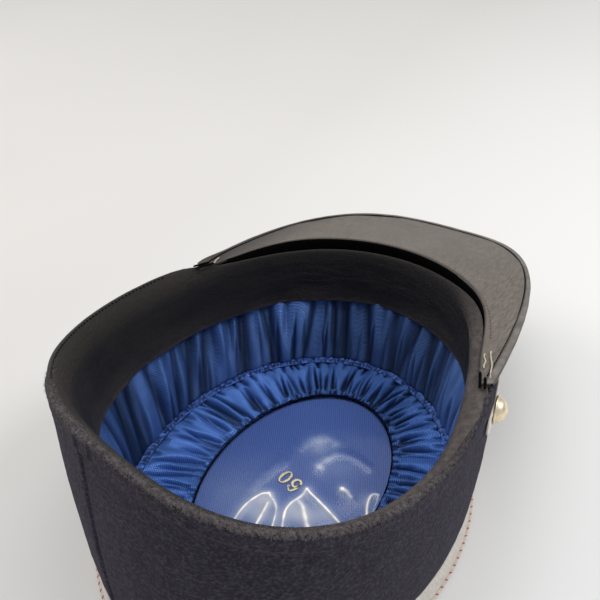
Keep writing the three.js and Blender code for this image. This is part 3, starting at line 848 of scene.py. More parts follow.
def visor_span(side):
    """The visor's inner and outer edges at each side, and how far apart they are."""
    turn = side * VISOR_TURN
    inner, outer = rim_point(turn, visor_inset(turn, VISOR_INNER), 0), visor_edge(side)
    return inner, outer, np.linalg.norm(outer - inner, axis=-1)


def visor_point(side, from_outer, lift):
    """A point of the visor that far in from its outer edge and above its middle layer."""
    inner, outer, reach = visor_span(side)
    point = blend(outer, inner, from_outer / reach)
    ripple = np.sin(from_outer / PUCKER_LENGTH + PUCKER_SLANT * side)
    puckers = smooth_step(np.abs(side), *PUCKER_SIDES) * ripple * smooth_step(reach, *PUCKER_REACH)
    point[..., 2] += lift - VISOR_HALF + PUCKER_HEIGHT * puckers
    return point


def walk_visor():
    """Shares of the way along the visor's edge, short of its pointed corners, and the sides there."""
    side = np.linspace(-VISOR_WALK_END, VISOR_WALK_END, VISOR_WALK_SAMPLES)
    run = path_run(visor_edge(side))
    return run / run[-1], side


VISOR_WALK = walk_visor()


def visor_side(u):
    """Evenly walked sides of the visor for u from 0 to 1."""
    return np.interp(u, *VISOR_WALK)


def build_visor():
    rows = capsule_rows(*VISOR_ROWS)

    def surface(u, v):
        side = visor_side(u)
        along, face, past = row_values(rows, v).T
        reach = visor_span(side)[2]
        half = np.minimum(VISOR_HALF, VISOR_THIN_SHARE * reach)
        from_outer = half + (reach - 2 * half) * (1 - along) - past * half
        between_ends = (u > VISOR_END) & (u < 1 - VISOR_END)
        return visor_point(side, from_outer, face * half * between_ends)

    def dark(u, v):
        along, face, _ = row_values(rows, v).T
        # Painted shade where the visor's inner edge rolls down into the seam gap.
        rolled = VISOR_ROLL_PAINTED_SHADE * smooth_step(along, *VISOR_ROLL_SPAN)
        corner = VISOR_CORNER_DARK * smooth_step(visor_side(u), *VISOR_CORNER_SIDES)
        return np.where(face < 0, VISOR_UNDER_DARK, np.maximum(rolled, corner))

    bm = bend_grid(VISOR_COLUMNS, len(rows) - 1, surface, {"dark": dark})
    roughen(bm, VISOR_ROUGH)
    finish_piece("visor_leather", bm, VISOR_LEATHER, ["visor"])


def binding_width(side):
    """The binding's width, which grows towards the corners."""
    left, right = smooth_step(-side, *BINDING_LEFT_SIDES), smooth_step(side, *BINDING_RIGHT_SIDES)
    wider = left + BINDING_RIGHT_SHARE * right
    return np.minimum(BINDING_WIDTH + BINDING_CORNER * wider, BINDING_MOST_SHARE * visor_span(side)[2])


def binding_rows():
    """The binding's section: its outer face and back along its inner one, as (inside, past, lift)."""
    rows = []
    for offset, order in ((BINDING_THICK, 1), (BINDING_GAP, -1)):
        half = VISOR_HALF + offset
        face = [1 - step / BINDING_FACE_ROWS for step in range(BINDING_FACE_ROWS)]
        angles = [math.pi * step / BINDING_ROUND_ROWS for step in range(BINDING_ROUND_ROWS + 1)]
        loop = [(inside, 0, half) for inside in face]
        loop += [(0, -half * math.sin(angle), half * math.cos(angle)) for angle in angles]
        loop += [(inside, 0, -half) for inside in face[::-1]]
        rows += loop[::order]
    rows.append(rows[0])
    return np.array(rows)


def build_binding():
    """A strip of leather folded over the visor's outer edge."""
    rows = binding_rows()

    def surface(u, v):
        side = visor_side(u)
        inside, past, lift = row_values(rows, v).T
        slim = np.minimum(1, visor_span(side)[2] / BINDING_SLIM_REACH)
        return visor_point(side, inside * binding_width(side) + past * slim, lift * slim)

    def dark(u, v):
        inside, past, lift = row_values(rows, v).T
        seam = smooth_step(inside, *BINDING_SEAM_SPAN)
        edge = BINDING_EDGE_DARK * smooth_step(past, *BINDING_EDGE_SPAN)
        corner = BINDING_CORNER_DARK * smooth_step(visor_side(u), *BINDING_CORNER_SIDES)
        above = np.maximum(np.maximum(seam, corner), edge)
        return np.where(lift < BINDING_UNDER, BINDING_UNDER_DARK, above)

    bm = bend_grid(VISOR_COLUMNS, len(rows) - 1, surface, {"dark": dark})
    close_ends(bm)
    roughen(bm, BINDING_ROUGH)
    finish_piece("visor_binding", bm, BINDING)


def build_shaded_lip():
    """The visor's inner edge turned down into the seam, in flat black as painted shade for the dark gap
    there.
    """
    def surface(u, v):
        turn = between(LIP_TURNS, u)
        inset = visor_inset(turn, VISOR_INNER) + np.interp(v, LIP_STEPS, LIP_INSETS)
        return rim_point(turn, inset, np.interp(v, LIP_STEPS, LIP_DROPS))

    piece = finish_piece("visor_lip_shade", bend_grid(*LIP_GRID, surface), BLACK_STITCH_AND_SHADE)
    thicken(piece, LIP_THICK)


def build_visor_stitches():
    def edge_line(share):
        side = visor_side(between(EDGE_STITCH_ENDS, share))
        return visor_point(side, binding_width(side) + EDGE_STITCH_GAP, STITCH_LIFT)

    def inner_line(share):
        turn = between(VISOR_SEAM[[0, -1], 0], share)
        from_inner = visor_inset(turn, VISOR_INNER) - visor_inset(turn, VISOR_SEAM)
        side = turn / VISOR_TURN
        return visor_point(side, visor_span(side)[2] - from_inner, STITCH_LIFT)

    stitch_line("visor_edge_stitches", edge_line, EDGE_STITCH_PITCH, EDGE_STITCH, BLACK_STITCH_AND_SHADE)
    stitch_line("visor_inner_stitches", inner_line, SEAM_STITCH_PITCH, SEAM_STITCH, BROWN_THREAD)


def build_corner_line(line):
    """A run of overlapping stitches over a visor corner, as a bar tack, or as a crease whose pale colour
    is a painted glint.
    """
    def route(share):
        inset = between(line.insets, share) + line.wobble * np.sin(share * CORNER_WOBBLES)
        return rim_point(between(line.turns, share) * DEGREE, inset * MM, -CORNER_LIFT)

    pitch = line.stitch.length * CORNER_PITCH_SHARE
    stitch_line(line.name, route, pitch, line.stitch, line.material)


# Sweatband
# The band's section at turns in degrees, with lengths in millimetres: its outer end over the rim, its
# fold, how soft that fold is as a share, and how far the leather arches between the two.
BandTurn = namedtuple("BandTurn", "turn end_inset end_drop fold_inset fold_drop soft arch")
BAND_TURNS = np.array([
    BandTurn(-180, 2.8, 1.7, 7.0, 4.4, 1.0, 0.2),
    BandTurn(-120, 2.6, 1.4, 7.0, 4.2, 0.9, 0.2),
    BandTurn(-100, 2.4, 0.8, 7.4, 4.0, 0.5, 0.3),
    BandTurn(-92, 2.3, 0.6, 8.2, 4.0, 0.3, 0.3),
    BandTurn(-83, 1.5, 0.6, 10.2, 4.0, 0.25, 0.3),
    BandTurn(-76, 0.8, 1.1, 11.6, 4.0, 0.25, 0.3),
    BandTurn(-70, 3.4, 2.2, 12.4, 4.0, 0.25, 0.3),
    BandTurn(-64, 8.6, 1.9, 12.8, 4.0, 0.25, 0.3),
    BandTurn(-55, 8.0, 1.9, 12.8, 4.0, 0.25, 0.3),
    BandTurn(-50, 6.8, 1.9, 12.2, 4.0, 0.3, 0.3),
    BandTurn(-45, 5.2, 1.8, 11.4, 3.8, 0.4, 0.3),
    BandTurn(-39, 4.5, 1.6, 10.5, 3.6, 0.5, 0.3),
    BandTurn(-35, 4.6, 1.5, 9.8, 3.4, 0.6, 0.2),
    BandTurn(-30, 5.6, 1.4, 9.2, 3.0, 0.7, 0.1),
    BandTurn(-20, 7.4, 1.4, 9.4, 2.6, 0.8, 0.1),
    BandTurn(-10, 8.3, 1.4, 9.6, 2.4, 0.8, 0.1),
    BandTurn(4, 9.2, 1.4, 10.3, 2.4, 0.8, 0.1),
    BandTurn(28, 9.8, 1.4, 10.9, 2.4, 0.8, 0.1),
    BandTurn(41, 10.2, 1.4, 11.2, 2.4, 0.8, 0.1),
    BandTurn(53, 10.1, 1.4, 11.2, 2.6, 0.8, 0.1),
    BandTurn(62, 9.2, 1.5, 10.8, 3.0, 0.9, 0.2),
    BandTurn(68, 5.8, 1.8, 9.6, 3.6, 1.0, 0.5),
    BandTurn(75, 0.6, 1.0, 8.6, 4.2, 1.0, 0.9),
    BandTurn(82, -0.9, 1.2, 8.0, 4.5, 1.0, 1.1),
    BandTurn(125, -0.9, 1.2, 7.5, 4.5, 1.0, 1.1),
    BandTurn(145, 1.8, 1.0, 7.2, 4.2, 1.0, 0.4),
    BandTurn(160, 2.8, 1.7, 7.0, 4.4, 1.0, 0.2),
    BandTurn(180, 2.8, 1.7, 7.0, 4.4, 1.0, 0.2),
])
BAND_SMOOTHING = np.linspace(-4, 4, 9)
BAND_THICK = 0.9 * MM
BAND_DEPTH = 35.5 * MM
BAND_DEPTH_FRONT = -2.7 * MM
BAND_BOTTOM_INSET = 11.8 * MM
BAND_BOTTOM_FRONT = -4.6 * MM
BAND_BOTTOM_LEFT = 1.6 * MM
BAND_LEFT_TURN = -85 * DEGREE
BAND_LEFT_HALF = 30 * DEGREE
BAND_ROLL = 1.7
BAND_BEFORE_FOLD = 0.85
BAND_AFTER_FOLD = 0.22
BAND_EDGE_IN = 0.8 * MM
BAND_EDGE_ROUND = 0.7 * MM
BAND_EDGE_BACK = 2 * MM
BAND_EDGE_SHARE = 0.6
BAND_COLUMNS = 560
BAND_ROLL_ROWS = 16
BAND_FACE_ROWS = 36
BAND_EDGE_ROWS = 8
BAND_FACE_CROWDING = 1.25
BAND_WRINKLE = 0.35 * MM
BAND_WRINKLE_ENDS = (30 * DEGREE, 75 * DEGREE)
BAND_WRINKLE_SCALES = (9, 22)
BAND_WRINKLE_TOP = (0.0, 0.2)
BAND_WRINKLE_LOW = (0.95, 0.6)
BAND_WAVE = 1.1 * MM
BAND_WAVE_SCALES = (4, 3)
BAND_ROUGH = [Rough(2.6 * MM, 0.06 * MM, 9)]
BAND_STITCH = Stitch(1.7 * MM, 0.9 * MM, 0.7 * MM)
BAND_STITCH_PITCH = 2.3 * MM
BAND_STITCH_TURNS = (82 * DEGREE, 138 * DEGREE)
BAND_STITCH_STEP = -0.8
LEFT_FOLD_TURN = -70 * DEGREE
LEFT_FOLD_ENDS = (36 * DEGREE, 18 * DEGREE)
LEFT_FOLD_STEP = 0.01
LEFT_FOLD_HALF = 0.022
LEFT_FOLD_DEPTH = 0.3 * MM
# The band's lighter leather, kept as 'rubbed': painted sheen on the roll, painted highlight on fold and
# lower edge.
FOLD_PAINTED_HIGHLIGHT = 0.8
LEFT_ROLL_PAINTED_SHEEN = 0.85
LEFT_ROLL_SHEEN_ENDS = (62 * DEGREE, 30 * DEGREE)
NEAR_ROLL_LIGHTENING = 0.1
NEAR_ROLL_LIGHTENING_TURNS = (110 * DEGREE, 140 * DEGREE)
ROLL_PAINTED_SHEEN = 0.03
ROLL_SHEEN_STEPS = (0.04, -0.02)
LOW_PAINTED_HIGHLIGHT = 0.12
LOW_HIGHLIGHT_STEPS = (0.6, 0.95)
EDGE_PAINTED_HIGHLIGHT = 0.5
EDGE_HIGHLIGHT_STEPS = (0.95, 1.0)


def band_shape(turn):
    """The band's listed section at each turn, smoothed between the turns in the list."""
    degrees = wrapped(turn) / DEGREE
    places = [(degrees + shift + 180) % 360 - 180 for shift in BAND_SMOOTHING]
    turns, *columns = BAND_TURNS.T
    return [np.mean([np.interp(spot, turns, column) for spot in places], axis=0) for column in columns]


def band_point(turn, step, out):
    """A point of the band, out from its middle layer.

    Steps run from -1 at its outer edge over the rim to 0 at the fold, from 0 to 1 down its face,
    and from 1 to 2 round its turned lower edge.
    """
    end_inset, end_drop, fold_inset, fold_drop, soft, arch = band_shape(turn)
    bottom = BAND_DEPTH + BAND_DEPTH_FRONT * np.cos(turn)
    on_left = hump(wrapped(turn) - BAND_LEFT_TURN, BAND_LEFT_HALF)
    bottom_inset = BAND_BOTTOM_INSET + BAND_BOTTOM_FRONT * np.cos(turn) + BAND_BOTTOM_LEFT * on_left

    def straight(place_step):
        over = np.clip(-place_step, 0, 1)
        level = np.clip(place_step, 0, 1)
        inset = fold_inset + (end_inset - fold_inset) * over + (bottom_inset / MM - fold_inset) * level
        rise = 1 - (1 - over) ** BAND_ROLL
        drop = fold_drop + (end_drop - fold_drop) * rise - arch * np.sin(math.pi * over)
        return np.stack([inset * MM, drop * MM + (bottom - fold_drop * MM) * level], axis=-1)

    before, after = BAND_BEFORE_FOLD * soft, BAND_AFTER_FOLD * soft
    share = np.clip((step + before) / (before + after), 0, 1)
    fold = straight(0 * step)
    rounded = blend(blend(straight(-before), fold, share), blend(fold, straight(after), share), share)
    within = (step > -before) & (step < after)
    section = np.where(within[..., None], rounded, straight(step))
    under = np.clip(step - 1, 0, 1)
    angle = np.clip(under / BAND_EDGE_SHARE, 0, 1) * math.pi
    back = np.clip(under - BAND_EDGE_SHARE, 0, 1) / (1 - BAND_EDGE_SHARE)
    inset = section[..., 0] - BAND_EDGE_IN * (1 - np.cos(angle))
    drop = section[..., 1] + BAND_EDGE_ROUND * np.sin(angle) - BAND_EDGE_BACK * back
    return wall_point(turn, inset - out, drop)


def left_fold(turn, step):
    """1 along the sharp fold of the band on the wearer's left, fading towards its ends."""
    here = smooth_step(np.abs(wrapped(turn) - LEFT_FOLD_TURN), *LEFT_FOLD_ENDS)
    return here * hump(step - LEFT_FOLD_STEP, LEFT_FOLD_HALF)


def build_band():
    steps = np.concatenate([
        np.linspace(-1, 0, BAND_ROLL_ROWS, endpoint=False),
        np.linspace(0, 1, BAND_FACE_ROWS, endpoint=False) ** BAND_FACE_CROWDING,
        np.linspace(1, 2, BAND_EDGE_ROWS)])

    def surface(u, v):
        turn = u * FULL_TURN
        step = row_values(steps, v)
        level = np.clip(step, 0, 1)
        inside = smooth_step(level, *BAND_WRINKLE_TOP) * smooth_step(level, *BAND_WRINKLE_LOW)
        creased_here = near_front(turn, *BAND_WRINKLE_ENDS) * inside
        wrinkle = BAND_WRINKLE * round_noise(turn, level, *BAND_WRINKLE_SCALES, seed=7) * creased_here
        wave = BAND_WAVE * round_noise(turn, level, *BAND_WAVE_SCALES, seed=8) * level
        return band_point(turn, step, wrinkle + wave - LEFT_FOLD_DEPTH * left_fold(turn, step))

    # Painted sheen on the roll, most on the wearer's left; painted highlight on the left fold and lower
    # edge.
    def rubbed(u, v):
        turn = wrapped(u * FULL_TURN)
        step = row_values(steps, v)
        on_left = smooth_step(np.abs(turn - BAND_LEFT_TURN), *LEFT_ROLL_SHEEN_ENDS)
        on_near = smooth_step(np.abs(turn), *NEAR_ROLL_LIGHTENING_TURNS)
        top = ROLL_PAINTED_SHEEN + LEFT_ROLL_PAINTED_SHEEN * on_left + NEAR_ROLL_LIGHTENING * on_near
        low = LOW_PAINTED_HIGHLIGHT * smooth_step(step, *LOW_HIGHLIGHT_STEPS)
        edge = EDGE_PAINTED_HIGHLIGHT * smooth_step(step, *EDGE_HIGHLIGHT_STEPS)
        folded = FOLD_PAINTED_HIGHLIGHT * left_fold(turn, step)
        return np.clip(smooth_step(step, *ROLL_SHEEN_STEPS) * top + (edge + low) + folded, 0, 1)

    bm = bend_grid(BAND_COLUMNS, len(steps) - 1, surface, {"rubbed": rubbed})
    roughen(bm, BAND_ROUGH)
    piece = finish_piece("sweatband_leather", bm, BAND_LEATHER, ["sweatband"])
    thicken(piece, BAND_THICK)


def build_band_stitches():
    def line(share):
        turn = between(BAND_STITCH_TURNS, share)
        point = band_point(turn, np.full_like(turn, BAND_STITCH_STEP), 0)
        point[..., 2] += BAND_THICK / 2
        return point

    stitch_line("band_stitches", line, BAND_STITCH_PITCH, BAND_STITCH, BLACK_STITCH_AND_SHADE)


# Satin lining
LINING_RING = Oval(2 * MM, 94 * MM, 79 * MM)
WINDOW_EDGE = Oval(6 * MM, 64 * MM, 45 * MM)
SATIN_THICK = 0.35 * MM
CREASE_SOFT = 0.3 * MM
CREASE_JITTER = 0.45
CREASE_WIDTHS = (0.4, 1)
CREASE_SHORT_ENDS = (0.7, 0.3)
CREASE_CLOSING = 0.07
WAVE_DRIFT = 0.9
WAVE_GAIN = 1.6
CALM_ENDS = (55 * DEGREE, 25 * DEGREE)
Crease = namedtuple("Crease", "turn depth width lean start fade end")
# Each row of folds gives the ranges its creases are drawn from, with widths in millimetres.
FoldRow = namedtuple("FoldRow", "count depths widths leans starts fades ends seed")
SIDE_FOLDS = [
    FoldRow(42, (1.0, 3.2), (1.0, 2.5), (-0.1, 0.1), (-0.6, 0.0), (0.3, 0.5), (1.2, 1.3), 11),
    FoldRow(90, (0.4, 1.8), (0.5, 0.9), (-0.04, 0.04), (0.2, 0.5), (0.5, 0.6), (1.2, 1.3), 12),
    FoldRow(36, (0.4, 1.3), (0.8, 1.5), (-0.04, 0.04), (-0.9, -0.8), (0.45, 0.6), (0.0, 0.25), 15),
]
SIDE_TOP_DROP = 27 * MM
SIDE_TOP_INSET = 3.2 * MM
SIDE_LOW_INSET = -0.6 * MM
SIDE_LOW_UP = 8.6 * MM
SIDE_FULLNESS = 7 * MM
SIDE_EDGE_FULL = 0.3
SIDE_FULL_POWER = 0.7
SIDE_WAVE_SIZE = 7.5 * MM
SIDE_WAVE_SHARE = 0.38
SIDE_SAG = 0.8 * MM
SIDE_SAG_SCALES = (7, 2)
SIDE_GRID = (1000, 30)
# Painted shade on the side: where its fold shade is eased, and how much is laid on towards the visor.
SIDE_CALM = 0.6
SIDE_CALM_TURN = -60 * DEGREE
SIDE_FRONT_CALM = 0.35
SIDE_FRONT_PAINTED_SHADE = 0.32
SIDE_FRONT_ENDS = (20 * DEGREE, 40 * DEGREE)
RUFFLE_FOLDS = [
    FoldRow(72, (0.9, 3.6), (0.45, 0.9), (-0.07, 0.07), (-0.1, 0.3), (0.5, 0.7), (0.8, 0.9), 21),
    FoldRow(60, (0.6, 2.4), (0.4, 0.7), (-0.07, 0.07), (0.35, 0.6), (0.2, 0.35), (0.8, 0.94), 22),
    FoldRow(90, (0.4, 1.4), (0.4, 0.8), (-0.07, 0.07), (-0.4, -0.3), (0.1, 0.2), (0.02, 0.16), 23),
    FoldRow(130, (0.5, 2.0), (0.3, 0.65), (-0.1, 0.1), (0.84, 0.88), (0.03, 0.06), (1.2, 1.3), 24),
]
RUFFLE_OUTER_INSET = 0.6 * MM
RUFFLE_LOW = 4.4 * MM
RUFFLE_FULLNESS = 5 * MM
RUFFLE_STEPS = (0, 0.08, 0.2, 0.5, 0.72, 0.84, 0.88, 0.93, 0.97, 1)
RUFFLE_FULL = (0.6, 0.8, 0.95, 1.0, 0.88, 0.62, 0.64, 0.66, 0.6, 0.4)
RUFFLE_PLEAT_SHARE = 0.88
RUFFLE_WAVE_SIZE = 8 * MM
RUFFLE_WAVE_SHARE = 0.2
RUFFLE_SCALLOP = 0.014
RUFFLE_SCALLOP_SIZE = 3.2 * MM
RUFFLE_SCALLOP_SPAN = (0.86, 1)
RUFFLE_GRID = (1100, 34)
RUFFLE_CALM = 0.42
RUFFLE_CALM_TURN = 122 * DEGREE
RUFFLE_FRONT_PAINTED_SHADE = 0.22
RUFFLE_FRONT_ENDS = (25 * DEGREE, 50 * DEGREE)
RUFFLE_SEAM = 0.84
RUFFLE_CASING_PAINTED_SHADE = 0.2
RUFFLE_CASING_SPAN = (RUFFLE_SEAM - 0.03, RUFFLE_SEAM + 0.02)
RUFFLE_EDGE_PAINTED_SHADE = 0.35
RUFFLE_EDGE_SPAN = (0.95, 1)
RUFFLE_STITCH = Stitch(1.7 * MM, 0.5 * MM, 0.35 * MM)
RUFFLE_STITCH_PITCH = 2.4 * MM
RING_INSET = 1.4 * MM
RING_SLOPE = 0.21
RING_UP = 8.2 * MM
RING_HALF = 2.2 * MM
RING_PLUMP = 0.7 * MM
RING_PUCKER = 0.55 * MM
RING_PUCKER_SIZE = 1.25 * MM
RING_PUCKER_GAIN = 2.4
RING_PUCKER_PAINTED_SHADE = 0.55
RING_FLATNESS = 0.5
RING_DARK = 0.25
RING_EDGE_PAINTED_SHADE = 0.15
RING_EDGE_SPAN = (0.8, 0.98)
RING_GRID = (1600, 14)
RING_SEAM = 1.35 * MM
RING_SEAM_HALF = 0.35 * MM
RING_SEAM_PRESS = 0.5
RING_SEAM_UP = 8.5 * MM
RING_STITCH = Stitch(1.5 * MM, 0.4 * MM, 0.3 * MM)
RING_STITCH_PITCH = 2.2 * MM


def draw_creases(rows):
    """Seeded creases spread unevenly round the lining; each deepens over its fade from its start."""
    creases = []
    for row in rows:
        draw = np.random.default_rng(row.seed)
        places = np.arange(row.count) + draw.uniform(-CREASE_JITTER, CREASE_JITTER, row.count)
        columns = [draw.uniform(low, high, row.count) for low, high in row[1:-1]]
        creases += [Crease(*values) for values in zip(places / row.count * FULL_TURN, *columns)]
    return creases


SIDE_CREASES = draw_creases(SIDE_FOLDS)
RUFFLE_CREASES = draw_creases(RUFFLE_FOLDS)


def creased(turn, along, radius, creases):
    """How deep the creases run at each place, as a share of the cloth's fullness."""
    depth = np.zeros_like(turn)
    for crease in creases:
        beside = radius * wrapped(turn - crease.turn - crease.lean * (along - 0.5))
        away = np.sqrt(beside ** 2 + CREASE_SOFT ** 2) - CREASE_SOFT
        reach = smooth_step(along, crease.start, crease.start + crease.fade)
        width = crease.width * MM * between(CREASE_WIDTHS, reach)
        closing = crease.fade * smooth_step(crease.end, *CREASE_SHORT_ENDS) + CREASE_CLOSING
        reach = reach * smooth_step(along, crease.end + closing, crease.end)
        depth += crease.depth * reach * np.exp(-away / width)
    return 1 - np.exp(-depth)


def cloth_wave(turn, along, size, seed):
    """Uneven waves from -1 to 1 round the lining, which drift slowly along the folds."""
    waves = round_noise(turn, along, LINING_RING.long / size, WAVE_DRIFT, seed)
    return np.clip(WAVE_GAIN * waves, -1, 1)


def close_to(turn, middle):
    """1 close to that turn, and 0 further off."""
    return smooth_step(np.abs(wrapped(turn - middle)), *CALM_ENDS)


def build_side():
    def surface(u, v):
        turn = u * FULL_TURN
        arched = np.sin(math.pi * np.clip(v, 0, 1)) ** SIDE_FULL_POWER
        full = SIDE_FULLNESS * between((SIDE_EDGE_FULL, 1), arched)
        waved = 1 - SIDE_WAVE_SHARE + SIDE_WAVE_SHARE * cloth_wave(turn, v, SIDE_WAVE_SIZE, seed=14)
        inward = full * (1 - creased(turn, v, LINING_RING.long, SIDE_CREASES)) * waved
        top = wall_point(turn, SIDE_TOP_INSET + inward, np.full_like(turn, SIDE_TOP_DROP))
        low = oval_point(LINING_RING, turn, SIDE_LOW_INSET + inward, SIDE_LOW_UP)
        point = blend(top, low, v)
        point[..., 2] += SIDE_SAG * np.sin(math.pi * v) * round_noise(turn, v, *SIDE_SAG_SCALES, seed=13)
        return point

    # Painted shade in the folds by their depth, eased near SIDE_CALM_TURN and towards the visor, where
    # even shade is added.
    def fold(u, v):
        turn = u * FULL_TURN
        front = near_front(turn, *SIDE_FRONT_ENDS)
        calm = SIDE_CALM * close_to(turn, SIDE_CALM_TURN) * (1 - front) + SIDE_FRONT_CALM * front
        depth = creased(turn, v, LINING_RING.long, SIDE_CREASES)
        return depth * (1 - calm) + SIDE_FRONT_PAINTED_SHADE * front

    bm = bend_grid(*SIDE_GRID, surface, {"fold": fold})
    piece = finish_piece("satin_side", bm, SIDE_SATIN, ["lining_side"])
    thicken(piece, SATIN_THICK)


def ruffle_point(turn, along, up):
    outer = oval_point(LINING_RING, turn, RUFFLE_OUTER_INSET, up)
    return blend(outer, oval_point(WINDOW_EDGE, turn, 0, up), along)


def ruffle_depth(turn, along):
    """How deep the ruffle's pleats run at each place, from 0 to 1."""
    radius = between((LINING_RING.long, WINDOW_EDGE.long), along)
    return creased(turn, along, radius, RUFFLE_CREASES)


def ruffle_height(turn, along):
    waves = cloth_wave(turn, along, RUFFLE_WAVE_SIZE, seed=25)
    waved = 1 - RUFFLE_WAVE_SHARE + RUFFLE_WAVE_SHARE * waves
    full = RUFFLE_FULLNESS * np.interp(along, RUFFLE_STEPS, RUFFLE_FULL) * waved
    return RUFFLE_LOW + full * (1 - RUFFLE_PLEAT_SHARE * ruffle_depth(turn, along))


def build_ruffle():
    def surface(u, v):
        turn = u * FULL_TURN
        uneven = cloth_wave(turn, 0 * turn, RUFFLE_SCALLOP_SIZE, seed=26)
        scallop = RUFFLE_SCALLOP * smooth_step(v, *RUFFLE_SCALLOP_SPAN) * uneven
        return ruffle_point(turn, v + scallop, ruffle_height(turn, v))

    # Painted shade in the pleats (eased near RUFFLE_CALM_TURN), over the casing, under the inner edge and
    # towards the visor.
    def fold(u, v):
        turn = u * FULL_TURN
        casing = RUFFLE_CASING_PAINTED_SHADE * smooth_step(v, *RUFFLE_CASING_SPAN)
        edge = RUFFLE_EDGE_PAINTED_SHADE * smooth_step(v, *RUFFLE_EDGE_SPAN)
        far = RUFFLE_FRONT_PAINTED_SHADE * near_front(turn, *RUFFLE_FRONT_ENDS)
        pleated = ruffle_depth(turn, v) * (1 - RUFFLE_CALM * close_to(turn, RUFFLE_CALM_TURN))
        return np.clip(np.maximum(pleated, casing) + edge + far, 0, 1)

    bm = bend_grid(*RUFFLE_GRID, surface, {"fold": fold})
    piece = finish_piece("satin_ruffle", bm, RUFFLE_SATIN, ["lining_ruffle"])
    thicken(piece, SATIN_THICK)

    def line(share):
        turn = share * FULL_TURN
        along = np.full_like(turn, RUFFLE_SEAM)
        return ruffle_point(turn, along, ruffle_height(turn, along) + SATIN_THICK / 2)

    stitch_line("ruffle_stitches", line, RUFFLE_STITCH_PITCH, RUFFLE_STITCH, BLUE_THREAD)


def ring_point(turn, across, up):
    return oval_point(LINING_RING, turn, RING_INSET + across, up - RING_SLOPE * across)


def ring_pucker(turn, angle):
    fine = LINING_RING.long / RING_PUCKER_SIZE
    puckers = round_noise(turn, np.cos(angle), fine, WAVE_DRIFT, seed=31)
    return np.clip(RING_PUCKER_GAIN * puckers, -1, 1)


def build_ring():
    def surface(u, v):
        turn, angle = u * FULL_TURN, v * FULL_TURN
        across = RING_HALF * np.cos(angle)
        pressed = 1 - RING_SEAM_PRESS * hump(np.abs(across) - RING_SEAM, RING_SEAM_HALF)
        thick = (RING_PLUMP + RING_PUCKER * ring_pucker(turn, angle)) * pressed
        flattened = np.sign(np.sin(angle)) * np.abs(np.sin(angle)) ** RING_FLATNESS
        return ring_point(turn, across, RING_UP + thick * flattened)

    # Painted shade in the puckers' hollows and along the edges, over a steady darkening of the ring's
    # tone.
    def fold(u, v):
        angle = v * FULL_TURN
        edge = RING_EDGE_PAINTED_SHADE * smooth_step(np.abs(np.cos(angle)), *RING_EDGE_SPAN)
        puckered = RING_PUCKER_PAINTED_SHADE * ring_pucker(u * FULL_TURN, angle)
        return np.clip(RING_DARK + edge - puckered, 0, 1)

    bm = bend_grid(*RING_GRID, surface, {"fold": fold})
    finish_piece("satin_ring", bm, RING_SATIN, ["lining_seam"])


def stitch_ring(name, across):
    def line(share):
        return ring_point(share * FULL_TURN, across, RING_SEAM_UP)

    stitch_line(name, line, RING_STITCH_PITCH, RING_STITCH, BLUE_THREAD)


# Tip, window and numerals
TIP_UP = 2.925 * MM
TIP_THICK = 0.75 * MM
TIP_MARGIN = -1 * MM
TIP_GRID = (160, 40)
TIP_ROUGH = [Rough(20 * MM, 0.15 * MM, 41)]
WINDOW_UNDER = 3 * MM
WINDOW_LOW = 4.1 * MM
WINDOW_DOME = 1.2 * MM
WINDOW_HELD = (1, 0.9)
WINDOW_GRID = (560, 84)
FILM_WAVE = Rough(22 * MM, 0.5 * MM, 42)
FILM_PATCH_SIZE = 4 * MM
FILM_PATCH_MEAN = 0.8
FILM_PATCH_DEPTH = 0.6
FILM_PATCH_LEAST = 0.3
FILM_CORE_SHARE = 0.72
FILM_CORE_LEAST = 0.45
FILM_CORE_PATCHY = 0.75
FILM_GLOW_SHARE = 0.28
FILM_GLOW_POWER = 1.3
FILM_REFLECTION_POWER = 1.7
FILM_CREASE_FOOT = 0.8
WINDOW_EDGE_INSET = 0.5 * MM
WINDOW_EDGE_RADIUS = 0.4 * MM
WINDOW_EDGE_UP = 4.7 * MM
WINDOW_EDGE_GRID = (360, 6)
